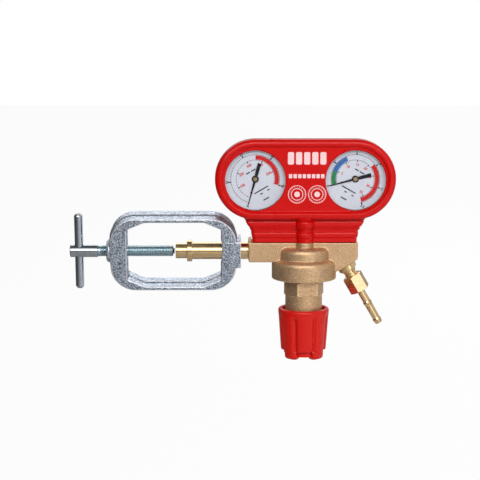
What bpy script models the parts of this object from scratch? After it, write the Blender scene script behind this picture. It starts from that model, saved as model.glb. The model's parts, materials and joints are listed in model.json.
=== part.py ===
"""Gas regulator with a yoke clamp, two gauges in a plastic housing and a barbed outlet.

Sizes are in millimetres and become metres through MM where a mesh or a place is made.
The constants count from where the inlet axis (X) crosses the regulator axis (Z). The scene's
origin is the middle of the clamp pad's face on the inlet axis, where the cylinder valve is
held, so set_place shifts every object without a parent along X by ORIGIN_X. The gauges face
-Y, the inlet points to -X and the adjusting knob hangs below.
"""

import math

import bmesh
import bpy
from mathutils import Vector

MM = 0.001
GAP = 0.3
ROUND = 24
FINE = 32
SMALL = 12
SHARP_ANGLE = 35.0

# Forged body
BLOCK_LEFT = -52.0
BLOCK_RIGHT = 49.5
BLOCK_TOP = 8.9
BLOCK_BOTTOM = -9.5
BLOCK_HALF_DEPTH = 11.0
RIB_TOP = 11.5
RIB_WIDTH = 3.0
DOME_RADIUS = 24.6
DOME_TOP = 4.2
DOME_FILLET = 5.2
FLANGE_RADIUS = 30.0
FLANGE_TOP = -7.6
FLANGE_BOTTOM = -26.0
FLANGE_FILLET = 5.0
FLANGE_CHAMFER = 1.5
FRONT_BOSS_RADIUS = 7.5
FRONT_BOSS_AXIS_Y = -11.0
FRONT_BOSS_BOTTOM = -2.0
PORT_BOSS_RADIUS = 9.5
PORT_BORE_RADIUS = 6.7
OUTLET_FACE_X = 39.2
OUTLET_FACE_Z = -13.4
OUTLET_TURN = 150.0
OUTLET_PAD_RUN = 7.2
OUTLET_PAD_RISE = 4.2
OUTLET_WEB_DROP = 4.9
OUTLET_BEVEL_RISE = 7.6
WEB_OVERLAP = 2.0

# Chambers and passages in the body
HIGH_CHAMBER_RADIUS = 6.5
HIGH_CHAMBER_TOP = 3.0
LOW_CHAMBER_RADIUS = 19.0
LOW_CHAMBER_TOP = -8.0
DIAPHRAGM_SHOULDER = -14.0
BONNET_BORE_RADIUS = 25.3
PASSAGE_RADIUS = 3.0
SMALL_PASSAGE_RADIUS = 1.8
LOW_PASSAGE_RADIUS = 2.2
LOW_PASSAGE_X = 11.5
LOW_PASSAGE_Z = 3.0
LOW_PASSAGE_STOP = 9.0
OUTLET_BORE_DEPTH = -10.0
OUTLET_PASSAGE_DEPTH = -20.0
LEFT_PORT_DEPTH = 77.5
RIGHT_PORT_DEPTH = 71.5

# Inlet stem
STEM_RADIUS = 7.9
STEM_THREAD_RADIUS = 7.0
STEM_INNER_END = -38.5
STEM_BORE_RADIUS = 2.8
FILTER_POCKET_RADIUS = 5.0
FILTER_POCKET_END = -50.3
COLLAR_RADIUS = 10.0
COLLAR_START = -104.2
COLLAR_END = -109.0
NOSE_RADIUS = 7.1
NOSE_END = -119.5

# Yoke, its bush and its clamp screw
YOKE_TILT = 15.0
YOKE_LEFT = -180.0
YOKE_RIGHT = -63.2
YOKE_HALF_HEIGHT = 36.0
YOKE_HALF_DEPTH = 10.85
YOKE_CORNER_RADIUS = 24.0
YOKE_INNER_LEFT = -164.6
YOKE_INNER_RIGHT = -76.7
YOKE_INNER_HALF_HEIGHT = 32.3
YOKE_LEG_HALF_HEIGHT = 24.9
YOKE_CHAMFER_RUN = 16.7
SCREW_BOSS_RADIUS = 10.7
SCREW_BOSS_END = -183.7
BUSH_BOSS_RADIUS = 12.5
BUSH_BOSS_END = -59.0
BUSH_OUTER_RADIUS = 9.0
SCREW_RADIUS = 5.0
SCREW_TIP = -121.7
HUB_RADIUS = 5.85
HUB_START = -192.0
HUB_END = -217.6
PAD_FACE = -120.6
PAD_RADIUS = 2.6
PAD_CHAMFER = 0.3
PAD_SPIGOT_RADIUS = 2.0
PAD_SPIGOT_END = -129.0
ORIGIN_X = PAD_FACE
BAR_X = -209.3
BAR_RADIUS = 3.9
BAR_LENGTH = 72.0
BAR_TILT = 8.0

# Outlet, measured along its axis from the outlet face
ADAPTER_THREAD_RADIUS = 6.2
ADAPTER_THREAD_END = -8.7
ADAPTER_COLLAR_RADIUS = 8.65
ADAPTER_COLLAR_END = 4.5
SPIGOT_RADIUS = 6.0
SPIGOT_END = 19.0
NUT_FLATS = 17.0
NUT_HEX_TURN = 15.0
NUT_START = 11.4
NUT_WALL = 23.3
NUT_END = 27.6
TAIL_HEAD_RADIUS = 5.9
TAIL_RADIUS = 3.35
TAIL_BORE_RADIUS = 1.8
TAIL_CLEARANCE = 0.35
TAIL_BARB_RADIUS = 4.0
TAIL_BARB = 41.0
TAIL_END = 63.6
TAIL_END_RADIUS = 3.1

# Bonnet and what it holds
NECK_RADIUS = 17.5
BONNET_HEX_RADIUS = 18.7
BONNET_HEX_FLATS = 32.0
BONNET_HEX_TOP = -28.5
BONNET_HEX_BOTTOM = -41.3
BONNET_HEX_TURN = -21.0
BONNET_HEX_CLEARING = 12.0
BONNET_HEX_CONE = 1.5
BONNET_RADIUS = 17.2
BONNET_RIM_TOP = -16.4
BONNET_BOTTOM = -74.0
BONNET_FLOOR = -68.0
SPRING_CHAMBER_RADIUS = 13.5
SPRING_CHAMBER_TOP = -22.0
RIM_INNER_RADIUS = 20.0
DIAPHRAGM_RADIUS = 24.8
DIAPHRAGM_TOP = -14.3
DIAPHRAGM_BOTTOM = -15.3
RING_BOTTOM = -16.1
PLATE_RADIUS = 17.0
PLATE_BOTTOM = -17.1
SEAT_TOP = -60.6
SEAT_BOTTOM = -63.0
SEAT_RADIUS = 12.5
GUIDE_RADIUS = 6.0
GUIDE_HEIGHT = 3.0
SPRING_RADIUS = 9.4
SPRING_WIRE_RADIUS = 1.6
SPRING_TURNS = 6
ADJUSTER_RADIUS = 4.9
ADJUSTER_BORE_RADIUS = 5.3
ADJUSTER_TOP = -63.3
ADJUSTER_BOTTOM = -93.2

# Valve
NOZZLE_FLANGE_RADIUS = 8.5
NOZZLE_FLANGE_BOTTOM = -10.2
NOZZLE_RADIUS = 6.2
NOZZLE_TOP = -4.0
NOZZLE_BORE_RADIUS = 1.6
SEAT_LIP_RADIUS = 2.8
SEAT_LIP_TOP = -3.4
POPPET_RADIUS = 4.2
POPPET_BOTTOM = -3.1
POPPET_TOP = -1.1
PIN_RADIUS = 1.1
PIN_BOTTOM = -14.0
POPPET_GUIDE_RADIUS = 2.0
POPPET_GUIDE_TOP = 0.6
POPPET_SPRING_RADIUS = 3.3
POPPET_SPRING_WIRE = 0.4
POPPET_SPRING_TURNS = 3

# Knob
KNOB_TOP = -53.7
KNOB_RIM_BOTTOM = -57.7
KNOB_BOTTOM = -100.8
KNOB_TOP_RADIUS = 23.8
KNOB_BOTTOM_RADIUS = 20.6
KNOB_OPENING_RADIUS = 20.0
KNOB_FLOOR = -85.0
KNOB_RIM_TAPER = 0.2
KNOB_FOOT_CHAMFER = 2.0
KNOB_PANEL_BOTTOM = -97.5
KNOB_PANEL_HALF_WIDTH = 8.7
KNOB_GROOVE_ANGLE = 30.0
KNOB_GROOVE_DEPTH = 2.2
KNOB_POINTS = 48

# Housing; its depths are counted towards the viewer, so they run along -Y
GAUGE_X = 46.0
GAUGE_Z = 68.3
SHELL_RADIUS = 37.0
SHELL_SPLIT_RADIUS = 35.4
SHELL_BACK_RADIUS = 34.4
SHELL_INSIDE = 32.9
SHELL_BACK_INSIDE = 31.9
SHELL_WALL = 2.5
SHELL_FRONT = 20.0
SHELL_FILLET = 5.0
SHELL_TAPER_START = 6.0
SHELL_SPLIT = -6.0
SHELL_BACK_SHOULDER = -12.0
SHELL_BACK = -16.0
PANEL_FRONT = 17.7
PANEL_BACK = 15.5
PANEL_RADIUS = 28.9
WINDOW_OPENING_RADIUS = 28.4
SKIRT_HALF_WIDTHS = (
    (41.5, 58.0),
    (33.5, 58.0),
    (28.7, 54.5),
    (25.2, 51.5),
    (21.9, 50.0),
    (19.0, 49.0),
    (9.6, 48.5),
)
SKIRT_TOP = SKIRT_HALF_WIDTHS[0][0]
SKIRT_HOLLOW_TOP = 46.5
SKIRT_FRONT = 13.5
SKIRT_BACK = -14.0
SKIRT_WALL = 2.2
BULGE_RADIUS = 8.5
BULGE_TOP = 31.5
SKIRT_BOTTOM = 9.6
SCREW_PLACES = ((0.0, 95.8), (0.0, 47.5), (-44.0, 22.5), (44.0, 22.5))
SCREW_HEAD_RADIUS = 3.2
SCREW_HEAD_HEIGHT = 2.0
SCREW_POINT = 2.5
POST_RADIUS = 4.0
POST_HOLE_RADIUS = 1.6
SLEEVE_RADIUS = 4.6
SLEEVE_HOLE_RADIUS = 1.7
HEAD_POCKET_RADIUS = 3.6
HEAD_POCKET_FLOOR = -13.0

# Gauge, in its own frame: X right, Y up, Z towards the viewer, origin at the pointer axis
GAUGE_TILT = 30.0
CASE_RADIUS = 30.0
CASE_WALL = 0.8
CASE_BACK = -12.0
CASE_FRONT = 15.2
WINDOW_RADIUS = 29.0
WINDOW_BACK = 13.7
WINDOW_FRONT = 15.0
DIAL_RADIUS = 28.6
DIAL_BACK = 11.0
DIAL_FRONT = 11.6
SOCKET_HALF_WIDTH = 6.0
SOCKET_TOP = -6.0
SOCKET_BOTTOM = -28.0
SOCKET_FRONT = 2.4
SOCKET_BACK = -6.0
SOCKET_NECK_RADIUS = 6.3
SOCKET_HEX_RADIUS = 8.0
SOCKET_HEX_START = 31.0
SOCKET_HEX_END = 40.0
GAUGE_STEM_RADIUS = 6.4
GAUGE_STEM_END = 54.0
WASHER_RADIUS = 8.5
WASHER_END = 41.8
PORT_START = 42.1
PORT_BORE_END = 56.0
PORT_BOSS_END = 74.0
TUBE_RADIUS = 21.0
TUBE_HALF_WIDTH = 1.2
TUBE_BACK = -5.0
TUBE_FRONT = 2.0
TUBE_START_ANGLE = 250.0
TUBE_END_ANGLE = -31.0
TUBE_TIP_ANGLE = -38.0
TUBE_TIP_FRONT = 5.2
PLATE_LEFT = -11.0
PLATE_RIGHT = 12.0
PLATE_LOW = -13.5
PLATE_HIGH = 3.5
BACK_PLATE = (2.7, 3.5)
FRONT_PLATE = (8.7, 9.5)
PILLARS = ((-9.0, -10.6), (9.6, -8.0))
PILLAR_RADIUS = 1.2
DIAL_POSTS = ((-8.0, 1.0), (8.0, 1.0))
DIAL_POST_FRONT = 10.7
SECTOR_PIVOT = (0.0, -10.6)
SECTOR_RADIUS = 9.2
SECTOR_FROM = 47.0
SECTOR_TO = 95.0
SECTOR_HUB_RADIUS = 2.0
SECTOR_PLANE = (4.4, 5.2)
TAIL_PIVOT = (3.0, -15.8)
EYE_RADIUS = 1.5
EYE_HOLE_RADIUS = 0.9
LINK_END = (17.2, -12.0)
LINK_PLANE = (5.6, 6.4)
LINK_HALF_WIDTH = 1.5
LINK_PIN_RADIUS = 0.6
STAFF_RADIUS = 0.7
STAFF_HOLE_RADIUS = 1.0
STAFF_PLANE = (2.8, 9.4)
PINION_RADIUS = 1.2
PINION_PLANE = (4.0, 6.8)
ARBOR_CAP_RADIUS = 2.0
ARBOR_CAP = (13.1, 13.4)
HAIRSPRING_PLANE = (7.2, 8.2)
HAIRSPRING_INNER = 1.6
HAIRSPRING_OUTER = 4.2
HAIRSPRING_TURNS = 2.5
HAIRSPRING_THICKNESS = 0.25
POINTER_HUB_RADIUS = 3.25
POINTER_HUB = (11.9, 12.8)
POINTER_BLADE = (12.1, 12.5)
POINTER_TIP = 25.0
POINTER_TAIL = -15.0
POINTER_ZERO_ANGLE = -135.0
POINTER_TIP_HALF = 0.25
POINTER_MIDDLE_HALF = 1.2
POINTER_TAIL_HALF = 1.5
TUBE_STEPS = 20
JOIN_DEPTH = 0.2


def srgb(red, green, blue):
    """Linear colour of an 8-bit screen colour."""
    return tuple((channel / 255.0) ** 2.2 for channel in (red, green, blue)) + (1.0,)


def make_material(name, colour, roughness, metallic):
    material = bpy.data.materials.new(name)
    material.use_nodes = True
    shader = material.node_tree.nodes["Principled BSDF"]
    shader.inputs["Base Color"].default_value = srgb(*colour)
    shader.inputs["Roughness"].default_value = roughness
    shader.inputs["Metallic"].default_value = metallic
    return material


def clear_scene():
    for obj in list(bpy.data.objects):
        bpy.data.objects.remove(obj)


def loft(rings, closed=False):
    """Skin through rings of points. Without closed, the first and last rings are capped."""
    mesh = bmesh.new()
    rows = [[mesh.verts.new(Vector(point) * MM) for point in ring] for ring in rings]
    pairs = list(zip(rows, rows[1:]))
    if closed:
        pairs.append((rows[-1], rows[0]))
    else:
        mesh.faces.new(rows[0])
        mesh.faces.new(rows[-1])
    for low, high in pairs:
        for i in range(len(low)):
            j = (i + 1) % len(low)
            mesh.faces.new((low[i], low[j], high[j], high[i]))
    bmesh.ops.recalc_face_normals(mesh, faces=mesh.faces[:])
    return mesh


def circle(radius, segments, phase=0.0):
    turns = [2 * math.pi * i / segments + phase for i in range(segments)]
    return [(radius * math.cos(turn), radius * math.sin(turn)) for turn in turns]


def arc(centre, radius, start, end, steps):
    """Points on an arc; angles in degrees, counterclockwise from +X."""
    turns = [math.radians(start + (end - start) * i / steps) for i in range(steps + 1)]
    return [(centre[0] + radius * math.cos(t), centre[1] + radius * math.sin(t)) for t in turns]


def at_height(outline, height):
    return [(x, y, height) for x, y in outline]


def turned(profile, segments=ROUND, closed=False):
    """Solid of revolution about Z from (radius, height) points."""
    return loft([at_height(circle(r, segments), z) for r, z in profile], closed)


def prism(outline, low, high):
    return loft([at_height(outline, low), at_height(outline, high)])


def rectangle(left, right, low, high):
    return [(left, low), (right, low), (right, high), (left, high)]


def stadium(radius, steps=ROUND // 2):
    """Outline round both gauges."""
    right = arc((GAUGE_X, GAUGE_Z), radius, -90, 90, steps)
    left = arc((-GAUGE_X, GAUGE_Z), radius, 90, 270, steps)
    return right + left


def stadium_loft(profile):
    return loft([at_height(stadium(r), z) for r, z in profile])


def hexagon(flats):
    return circle(flats / math.sqrt(3), 6, math.pi / 6)


def coil(radius, wire, low, high, turns, per_turn, sides):
    """Helical spring whose wire centre runs from low to high."""
    rings = []
    steps = int(turns * per_turn)
    for i in range(steps + 1):
        angle = 2 * math.pi * i / per_turn
        height = low + (high - low) * i / steps
        ring = []
        for across, up in circle(wire, sides):
            reach = radius + across
            ring.append((reach * math.cos(angle), reach * math.sin(angle), height + up))
        rings.append(ring)
    return loft(rings)


def add_object(name, mesh, material, parent=None, place=(0, 0, 0), turn=(0, 0, 0)):
    data = bpy.data.meshes.new(name)
    mesh.to_mesh(data)
    mesh.free()
    data.materials.append(material)
    data.shade_smooth()
    data.set_sharp_from_angle(angle=math.radians(SHARP_ANGLE))
    obj = bpy.data.objects.new(name, data)
    bpy.context.scene.collection.objects.link(obj)
    set_place(obj, parent, place, turn)
    return obj


def add_axis(name, parent=None, place=(0, 0, 0), turn=(0, 0, 0)):
    axis = bpy.data.objects.new(name, None)
    bpy.context.scene.collection.objects.link(axis)
    set_place(axis, parent, place, turn)
    return axis


def set_place(obj, parent, place, turn):
    obj.parent = parent
    shift = Vector((0, 0, 0)) if parent else Vector((-ORIGIN_X, 0, 0))
    obj.location = (Vector(place) + shift) * MM
    obj.rotation_euler = [math.radians(angle) for angle in turn]


def combine(target, operation, mesh, place=(0, 0, 0), turn=(0, 0, 0), parent=None):
    """Joins a shape to the target, or cuts it away, with a Boolean that stays live."""
    material = target.data.materials[0]
    tool = add_object(f"{operation.lower()}_{target.name}", mesh, material, parent, place, turn)
    tool.hide_render = True
    tool.display_type = "WIRE"
    modifier = target.modifiers.new(tool.name, "BOOLEAN")
    modifier.operation = operation
    modifier.solver = "EXACT"
    modifier.object = tool


def join(target, mesh, place=(0, 0, 0), turn=(0, 0, 0), parent=None):
    combine(target, "UNION", mesh, place, turn, parent)


def cut(target, mesh, place=(0, 0, 0), turn=(0, 0, 0), parent=None):
    combine(target, "DIFFERENCE", mesh, place, turn, parent)


FACING = (90, 0, 0)
ALONG_X = (0, 90, 0)
ALONG_OUTLET = (0, OUTLET_TURN, 0)
OUTLET_FACE = (OUTLET_FACE_X, 0, OUTLET_FACE_Z)


def port_place(side):
    return (side * GAUGE_X, 0, GAUGE_Z)


def port_turn(side):
    """Turns Z to the direction of a gauge stem, down and towards the middle."""
    return (0, -side * (180 - GAUGE_TILT), 0)


def build_body(brass):
    block = [
        (BLOCK_LEFT, BLOCK_TOP),
        (BLOCK_LEFT, BLOCK_BOTTOM),
        (DOME_RADIUS - WEB_OVERLAP, BLOCK_BOTTOM),
        (DOME_RADIUS + WEB_OVERLAP, OUTLET_FACE_Z - OUTLET_WEB_DROP),
        (FLANGE_RADIUS, OUTLET_FACE_Z - OUTLET_WEB_DROP),
        (OUTLET_FACE_X - OUTLET_PAD_RUN, OUTLET_FACE_Z - OUTLET_PAD_RISE),
        (OUTLET_FACE_X + OUTLET_PAD_RUN, OUTLET_FACE_Z + OUTLET_PAD_RISE),
        (BLOCK_RIGHT, OUTLET_FACE_Z + OUTLET_BEVEL_RISE),
        (BLOCK_RIGHT, BLOCK_TOP),
    ]
    body = add_object("body", prism(block, -BLOCK_HALF_DEPTH, BLOCK_HALF_DEPTH), brass, turn=FACING)
    rim = arc((DOME_RADIUS - DOME_FILLET, DOME_TOP - DOME_FILLET), DOME_FILLET, 90, 0, 3)
    shoulder = arc((FLANGE_RADIUS - FLANGE_FILLET, FLANGE_TOP - FLANGE_FILLET), FLANGE_FILLET, 90, 0, 4)
    foot = [(FLANGE_RADIUS, FLANGE_BOTTOM + FLANGE_CHAMFER), (FLANGE_RADIUS - FLANGE_CHAMFER, FLANGE_BOTTOM)]
    join(body, turned(rim + [(DOME_RADIUS, FLANGE_TOP)] + shoulder + foot, FINE))
    front_boss = [(FRONT_BOSS_RADIUS, SKIRT_BOTTOM - GAP), (FRONT_BOSS_RADIUS, FRONT_BOSS_BOTTOM)]
    join(body, turned(front_boss, 16), (0, FRONT_BOSS_AXIS_Y, 0))
    rib = rectangle(BLOCK_LEFT, BLOCK_LEFT + RIB_WIDTH, BLOCK_TOP - 1, RIB_TOP)
    join(body, prism(rib, -BLOCK_HALF_DEPTH, 0), turn=FACING)
    for side in (-1, 1):
        boss = turned([(PORT_BOSS_RADIUS, PORT_START), (PORT_BOSS_RADIUS, PORT_BOSS_END)])
        join(body, boss, port_place(side), port_turn(side))

    regulator_axis = [
        (HIGH_CHAMBER_RADIUS, HIGH_CHAMBER_TOP),
        (HIGH_CHAMBER_RADIUS, LOW_CHAMBER_TOP),
        (LOW_CHAMBER_RADIUS, LOW_CHAMBER_TOP),
        (LOW_CHAMBER_RADIUS, DIAPHRAGM_SHOULDER),
        (BONNET_BORE_RADIUS, DIAPHRAGM_SHOULDER),
        (BONNET_BORE_RADIUS, FLANGE_BOTTOM - 1),
    ]
    cut(body, turned(regulator_axis, FINE))
    inlet_bore = STEM_THREAD_RADIUS + GAP
    inlet_floor = STEM_INNER_END + 0.5
    inlet = [
        (inlet_bore, BLOCK_LEFT - 1),
        (inlet_bore, inlet_floor),
        (STEM_BORE_RADIUS, inlet_floor),
        (STEM_BORE_RADIUS, -STEM_BORE_RADIUS),
    ]
    cut(body, turned(inlet), turn=ALONG_X)
    outlet_bore = ADAPTER_THREAD_RADIUS + GAP
    outlet = [
        (outlet_bore, 1),
        (outlet_bore, OUTLET_BORE_DEPTH),
        (PASSAGE_RADIUS, OUTLET_BORE_DEPTH),
        (PASSAGE_RADIUS, OUTLET_PASSAGE_DEPTH),
    ]
    cut(body, turned(outlet), OUTLET_FACE, ALONG_OUTLET)
    for side, depth in ((-1, LEFT_PORT_DEPTH), (1, RIGHT_PORT_DEPTH)):
        port = [
            (PORT_BORE_RADIUS, PORT_START - 1),
            (PORT_BORE_RADIUS, PORT_BORE_END),
            (SMALL_PASSAGE_RADIUS, PORT_BORE_END),
            (SMALL_PASSAGE_RADIUS, depth),
        ]
        cut(body, turned(port), port_place(side), port_turn(side))
    drop = [(LOW_PASSAGE_RADIUS, BLOCK_TOP - 2), (LOW_PASSAGE_RADIUS, LOW_CHAMBER_TOP - 1)]
    cut(body, turned(drop, SMALL), (LOW_PASSAGE_X, 0, 0))
    across_end = OUTLET_FACE_X - LOW_PASSAGE_STOP
    across = [(SMALL_PASSAGE_RADIUS, LOW_PASSAGE_X - 1), (SMALL_PASSAGE_RADIUS, across_end)]
    cut(body, turned(across, SMALL), (0, 0, LOW_PASSAGE_Z), ALONG_X)


def build_bonnet(brass):
    profile = [
        (DIAPHRAGM_RADIUS, BONNET_RIM_TOP),
        (DIAPHRAGM_RADIUS, FLANGE_BOTTOM + GAP),
        (NECK_RADIUS, FLANGE_BOTTOM + GAP),
        (NECK_RADIUS, BONNET_HEX_TOP),
        (BONNET_HEX_RADIUS, BONNET_HEX_TOP),
        (BONNET_HEX_RADIUS, BONNET_HEX_BOTTOM),
        (BONNET_RADIUS, BONNET_HEX_BOTTOM - BONNET_HEX_CONE),
        (BONNET_RADIUS, BONNET_BOTTOM),
        (ADJUSTER_BORE_RADIUS, BONNET_BOTTOM),
        (ADJUSTER_BORE_RADIUS, BONNET_FLOOR),
        (SPRING_CHAMBER_RADIUS, BONNET_FLOOR),
        (SPRING_CHAMBER_RADIUS, SPRING_CHAMBER_TOP),
        (RIM_INNER_RADIUS, SPRING_CHAMBER_TOP),
        (RIM_INNER_RADIUS, BONNET_RIM_TOP),
    ]
    bonnet = add_object("bonnet", turned(profile, closed=True), brass)
    inner = hexagon(BONNET_HEX_FLATS)
    outer = hexagon(BONNET_HEX_FLATS + BONNET_HEX_CLEARING)
    low = BONNET_HEX_BOTTOM + 1
    high = BONNET_HEX_TOP + 1
    flats = [at_height(inner, low), at_height(outer, low), at_height(outer, high), at_height(inner, high)]
    cut(bonnet, loft(flats, True), turn=(0, 0, BONNET_HEX_TURN))


def build_range_spring(steel, brass, rubber):
    disc = [(DIAPHRAGM_RADIUS, DIAPHRAGM_TOP), (DIAPHRAGM_RADIUS, DIAPHRAGM_BOTTOM)]
    add_object("diaphragm", turned(disc), rubber)
    ring_inner = RIM_INNER_RADIUS + 0.5
    ring_top = DIAPHRAGM_BOTTOM - GAP
    ring = [
        (ring_inner, ring_top),
        (DIAPHRAGM_RADIUS, ring_top),
        (DIAPHRAGM_RADIUS, RING_BOTTOM),
        (ring_inner, RING_BOTTOM),
    ]
    add_object("slip_ring", turned(ring, closed=True), steel)
    plate = [
        (PLATE_RADIUS, DIAPHRAGM_BOTTOM - GAP),
        (PLATE_RADIUS, PLATE_BOTTOM),
        (GUIDE_RADIUS, PLATE_BOTTOM),
        (GUIDE_RADIUS, PLATE_BOTTOM - GUIDE_HEIGHT),
    ]
    add_object("diaphragm_plate", turned(plate), brass)
    low = SEAT_TOP + GAP + SPRING_WIRE_RADIUS
    high = PLATE_BOTTOM - GAP - SPRING_WIRE_RADIUS
    spring = coil(SPRING_RADIUS, SPRING_WIRE_RADIUS, low, high, SPRING_TURNS, 12, 6)
    add_object("main_spring", spring, steel)
    seat = [
        (GUIDE_RADIUS, SEAT_TOP + GUIDE_HEIGHT),
        (GUIDE_RADIUS, SEAT_TOP),
        (SEAT_RADIUS, SEAT_TOP),
        (SEAT_RADIUS, SEAT_BOTTOM),
    ]
    add_object("spring_seat", turned(seat), steel)


def build_valve(brass, steel):
    nozzle = [
        (NOZZLE_BORE_RADIUS, SEAT_LIP_TOP),
        (SEAT_LIP_RADIUS, SEAT_LIP_TOP),
        (SEAT_LIP_RADIUS, NOZZLE_TOP),
        (NOZZLE_RADIUS, NOZZLE_TOP),
        (NOZZLE_RADIUS, LOW_CHAMBER_TOP - GAP),
        (NOZZLE_FLANGE_RADIUS, LOW_CHAMBER_TOP - GAP),
        (NOZZLE_FLANGE_RADIUS, NOZZLE_FLANGE_BOTTOM),
        (NOZZLE_BORE_RADIUS, NOZZLE_FLANGE_BOTTOM),
    ]
    add_object("valve_nozzle", turned(nozzle, 16, closed=True), brass)
    poppet = [
        (POPPET_GUIDE_RADIUS, POPPET_GUIDE_TOP),
        (POPPET_GUIDE_RADIUS, POPPET_TOP),
        (POPPET_RADIUS, POPPET_TOP),
        (POPPET_RADIUS, POPPET_BOTTOM),
        (PIN_RADIUS, POPPET_BOTTOM),
        (PIN_RADIUS, PIN_BOTTOM),
    ]
    add_object("valve_poppet", turned(poppet, SMALL), steel)
    low = POPPET_TOP + GAP + POPPET_SPRING_WIRE
    high = HIGH_CHAMBER_TOP - GAP - POPPET_SPRING_WIRE
    spring = coil(POPPET_SPRING_RADIUS, POPPET_SPRING_WIRE, low, high, POPPET_SPRING_TURNS, 10, 4)
    add_object("poppet_spring", spring, steel)


def build_knob(plastic, steel):
    axis = add_axis("knob_axis", place=(0, 0, KNOB_TOP))

    def ring(radius, height, groove):
        points = []
        for i in range(KNOB_POINTS):
            degrees = 360 * i / KNOB_POINTS
            off_centre = abs((degrees + 45) % 90 - 45)
            depth = groove if math.isclose(off_centre, KNOB_GROOVE_ANGLE) else 0
            angle = math.radians(degrees)
            reach = radius - depth
            points.append((reach * math.cos(angle), reach * math.sin(angle), height - KNOB_TOP))
        return points

    rings = [
        ring(KNOB_TOP_RADIUS, KNOB_TOP, 0),
        ring(KNOB_TOP_RADIUS - KNOB_RIM_TAPER, KNOB_RIM_BOTTOM, 0),
        ring(KNOB_TOP_RADIUS - KNOB_RIM_TAPER, KNOB_RIM_BOTTOM - 1, KNOB_GROOVE_DEPTH),
        ring(KNOB_BOTTOM_RADIUS, KNOB_BOTTOM + KNOB_FOOT_CHAMFER, KNOB_GROOVE_DEPTH),
        ring(KNOB_BOTTOM_RADIUS - KNOB_FOOT_CHAMFER, KNOB_BOTTOM, KNOB_GROOVE_DEPTH / 2),
    ]
    knob = add_object("knob", loft(rings), plastic, axis)
    screw_bore = ADJUSTER_RADIUS + GAP
    hollow = [
        (KNOB_OPENING_RADIUS, 1),
        (KNOB_OPENING_RADIUS, KNOB_FLOOR - KNOB_TOP),
        (screw_bore, KNOB_FLOOR - KNOB_TOP),
        (screw_bore, ADJUSTER_BOTTOM - GAP - KNOB_TOP),
    ]
    cut(knob, turned(hollow), parent=axis)
    channel_top = KNOB_PANEL_BOTTOM - KNOB_TOP
    channel_bottom = KNOB_BOTTOM - KNOB_TOP - 1
    half_width = KNOB_PANEL_HALF_WIDTH
    channel = rectangle(-KNOB_TOP_RADIUS, KNOB_TOP_RADIUS, -half_width, half_width)
    for turn in (0, 90):
        cut(knob, prism(channel, channel_bottom, channel_top), turn=(0, 0, turn), parent=axis)

    screw = [
        (ADJUSTER_RADIUS - 1.5, ADJUSTER_TOP - KNOB_TOP),
        (ADJUSTER_RADIUS, ADJUSTER_TOP - 1.5 - KNOB_TOP),
        (ADJUSTER_RADIUS, ADJUSTER_BOTTOM - KNOB_TOP),
    ]
    add_object("adjusting_screw", turned(screw, 20), steel, axis)


def build_inlet(brass, sinter):
    stem = [
        (STEM_THREAD_RADIUS, STEM_INNER_END),
        (STEM_THREAD_RADIUS, BLOCK_LEFT - GAP),
        (STEM_RADIUS, BLOCK_LEFT - GAP),
        (STEM_RADIUS, COLLAR_START),
        (COLLAR_RADIUS, COLLAR_START),
        (COLLAR_RADIUS, COLLAR_END),
        (NOSE_RADIUS, COLLAR_END),
        (NOSE_RADIUS, NOSE_END + 1),
        (NOSE_RADIUS - 1, NOSE_END),
        (STEM_BORE_RADIUS, NOSE_END),
        (STEM_BORE_RADIUS, FILTER_POCKET_END),
        (FILTER_POCKET_RADIUS, FILTER_POCKET_END),
        (FILTER_POCKET_RADIUS, STEM_INNER_END),
    ]
    add_object("inlet_stem", turned(stem, closed=True), brass, turn=ALONG_X)
    outer = FILTER_POCKET_RADIUS - GAP
    inner = outer - 1.5
    mouth = FILTER_POCKET_END + GAP
    end = STEM_INNER_END - 0.5
    cup = [(inner, end - 1.5), (inner, mouth), (outer, mouth), (outer, end)]
    add_object("inlet_filter", turned(cup, 16), sinter, turn=ALONG_X)


def rounded_rectangle(left, right, half_height, radius, steps=4):
    corners = (
        (right - radius, half_height - radius, 0),
        (left + radius, half_height - radius, 90),
        (left + radius, radius - half_height, 180),
        (right - radius, radius - half_height, 270),
    )
    outline = []
    for x, y, start in corners:
        outline += arc((x, y), radius, start, start + 90, steps)
    return outline


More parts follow.
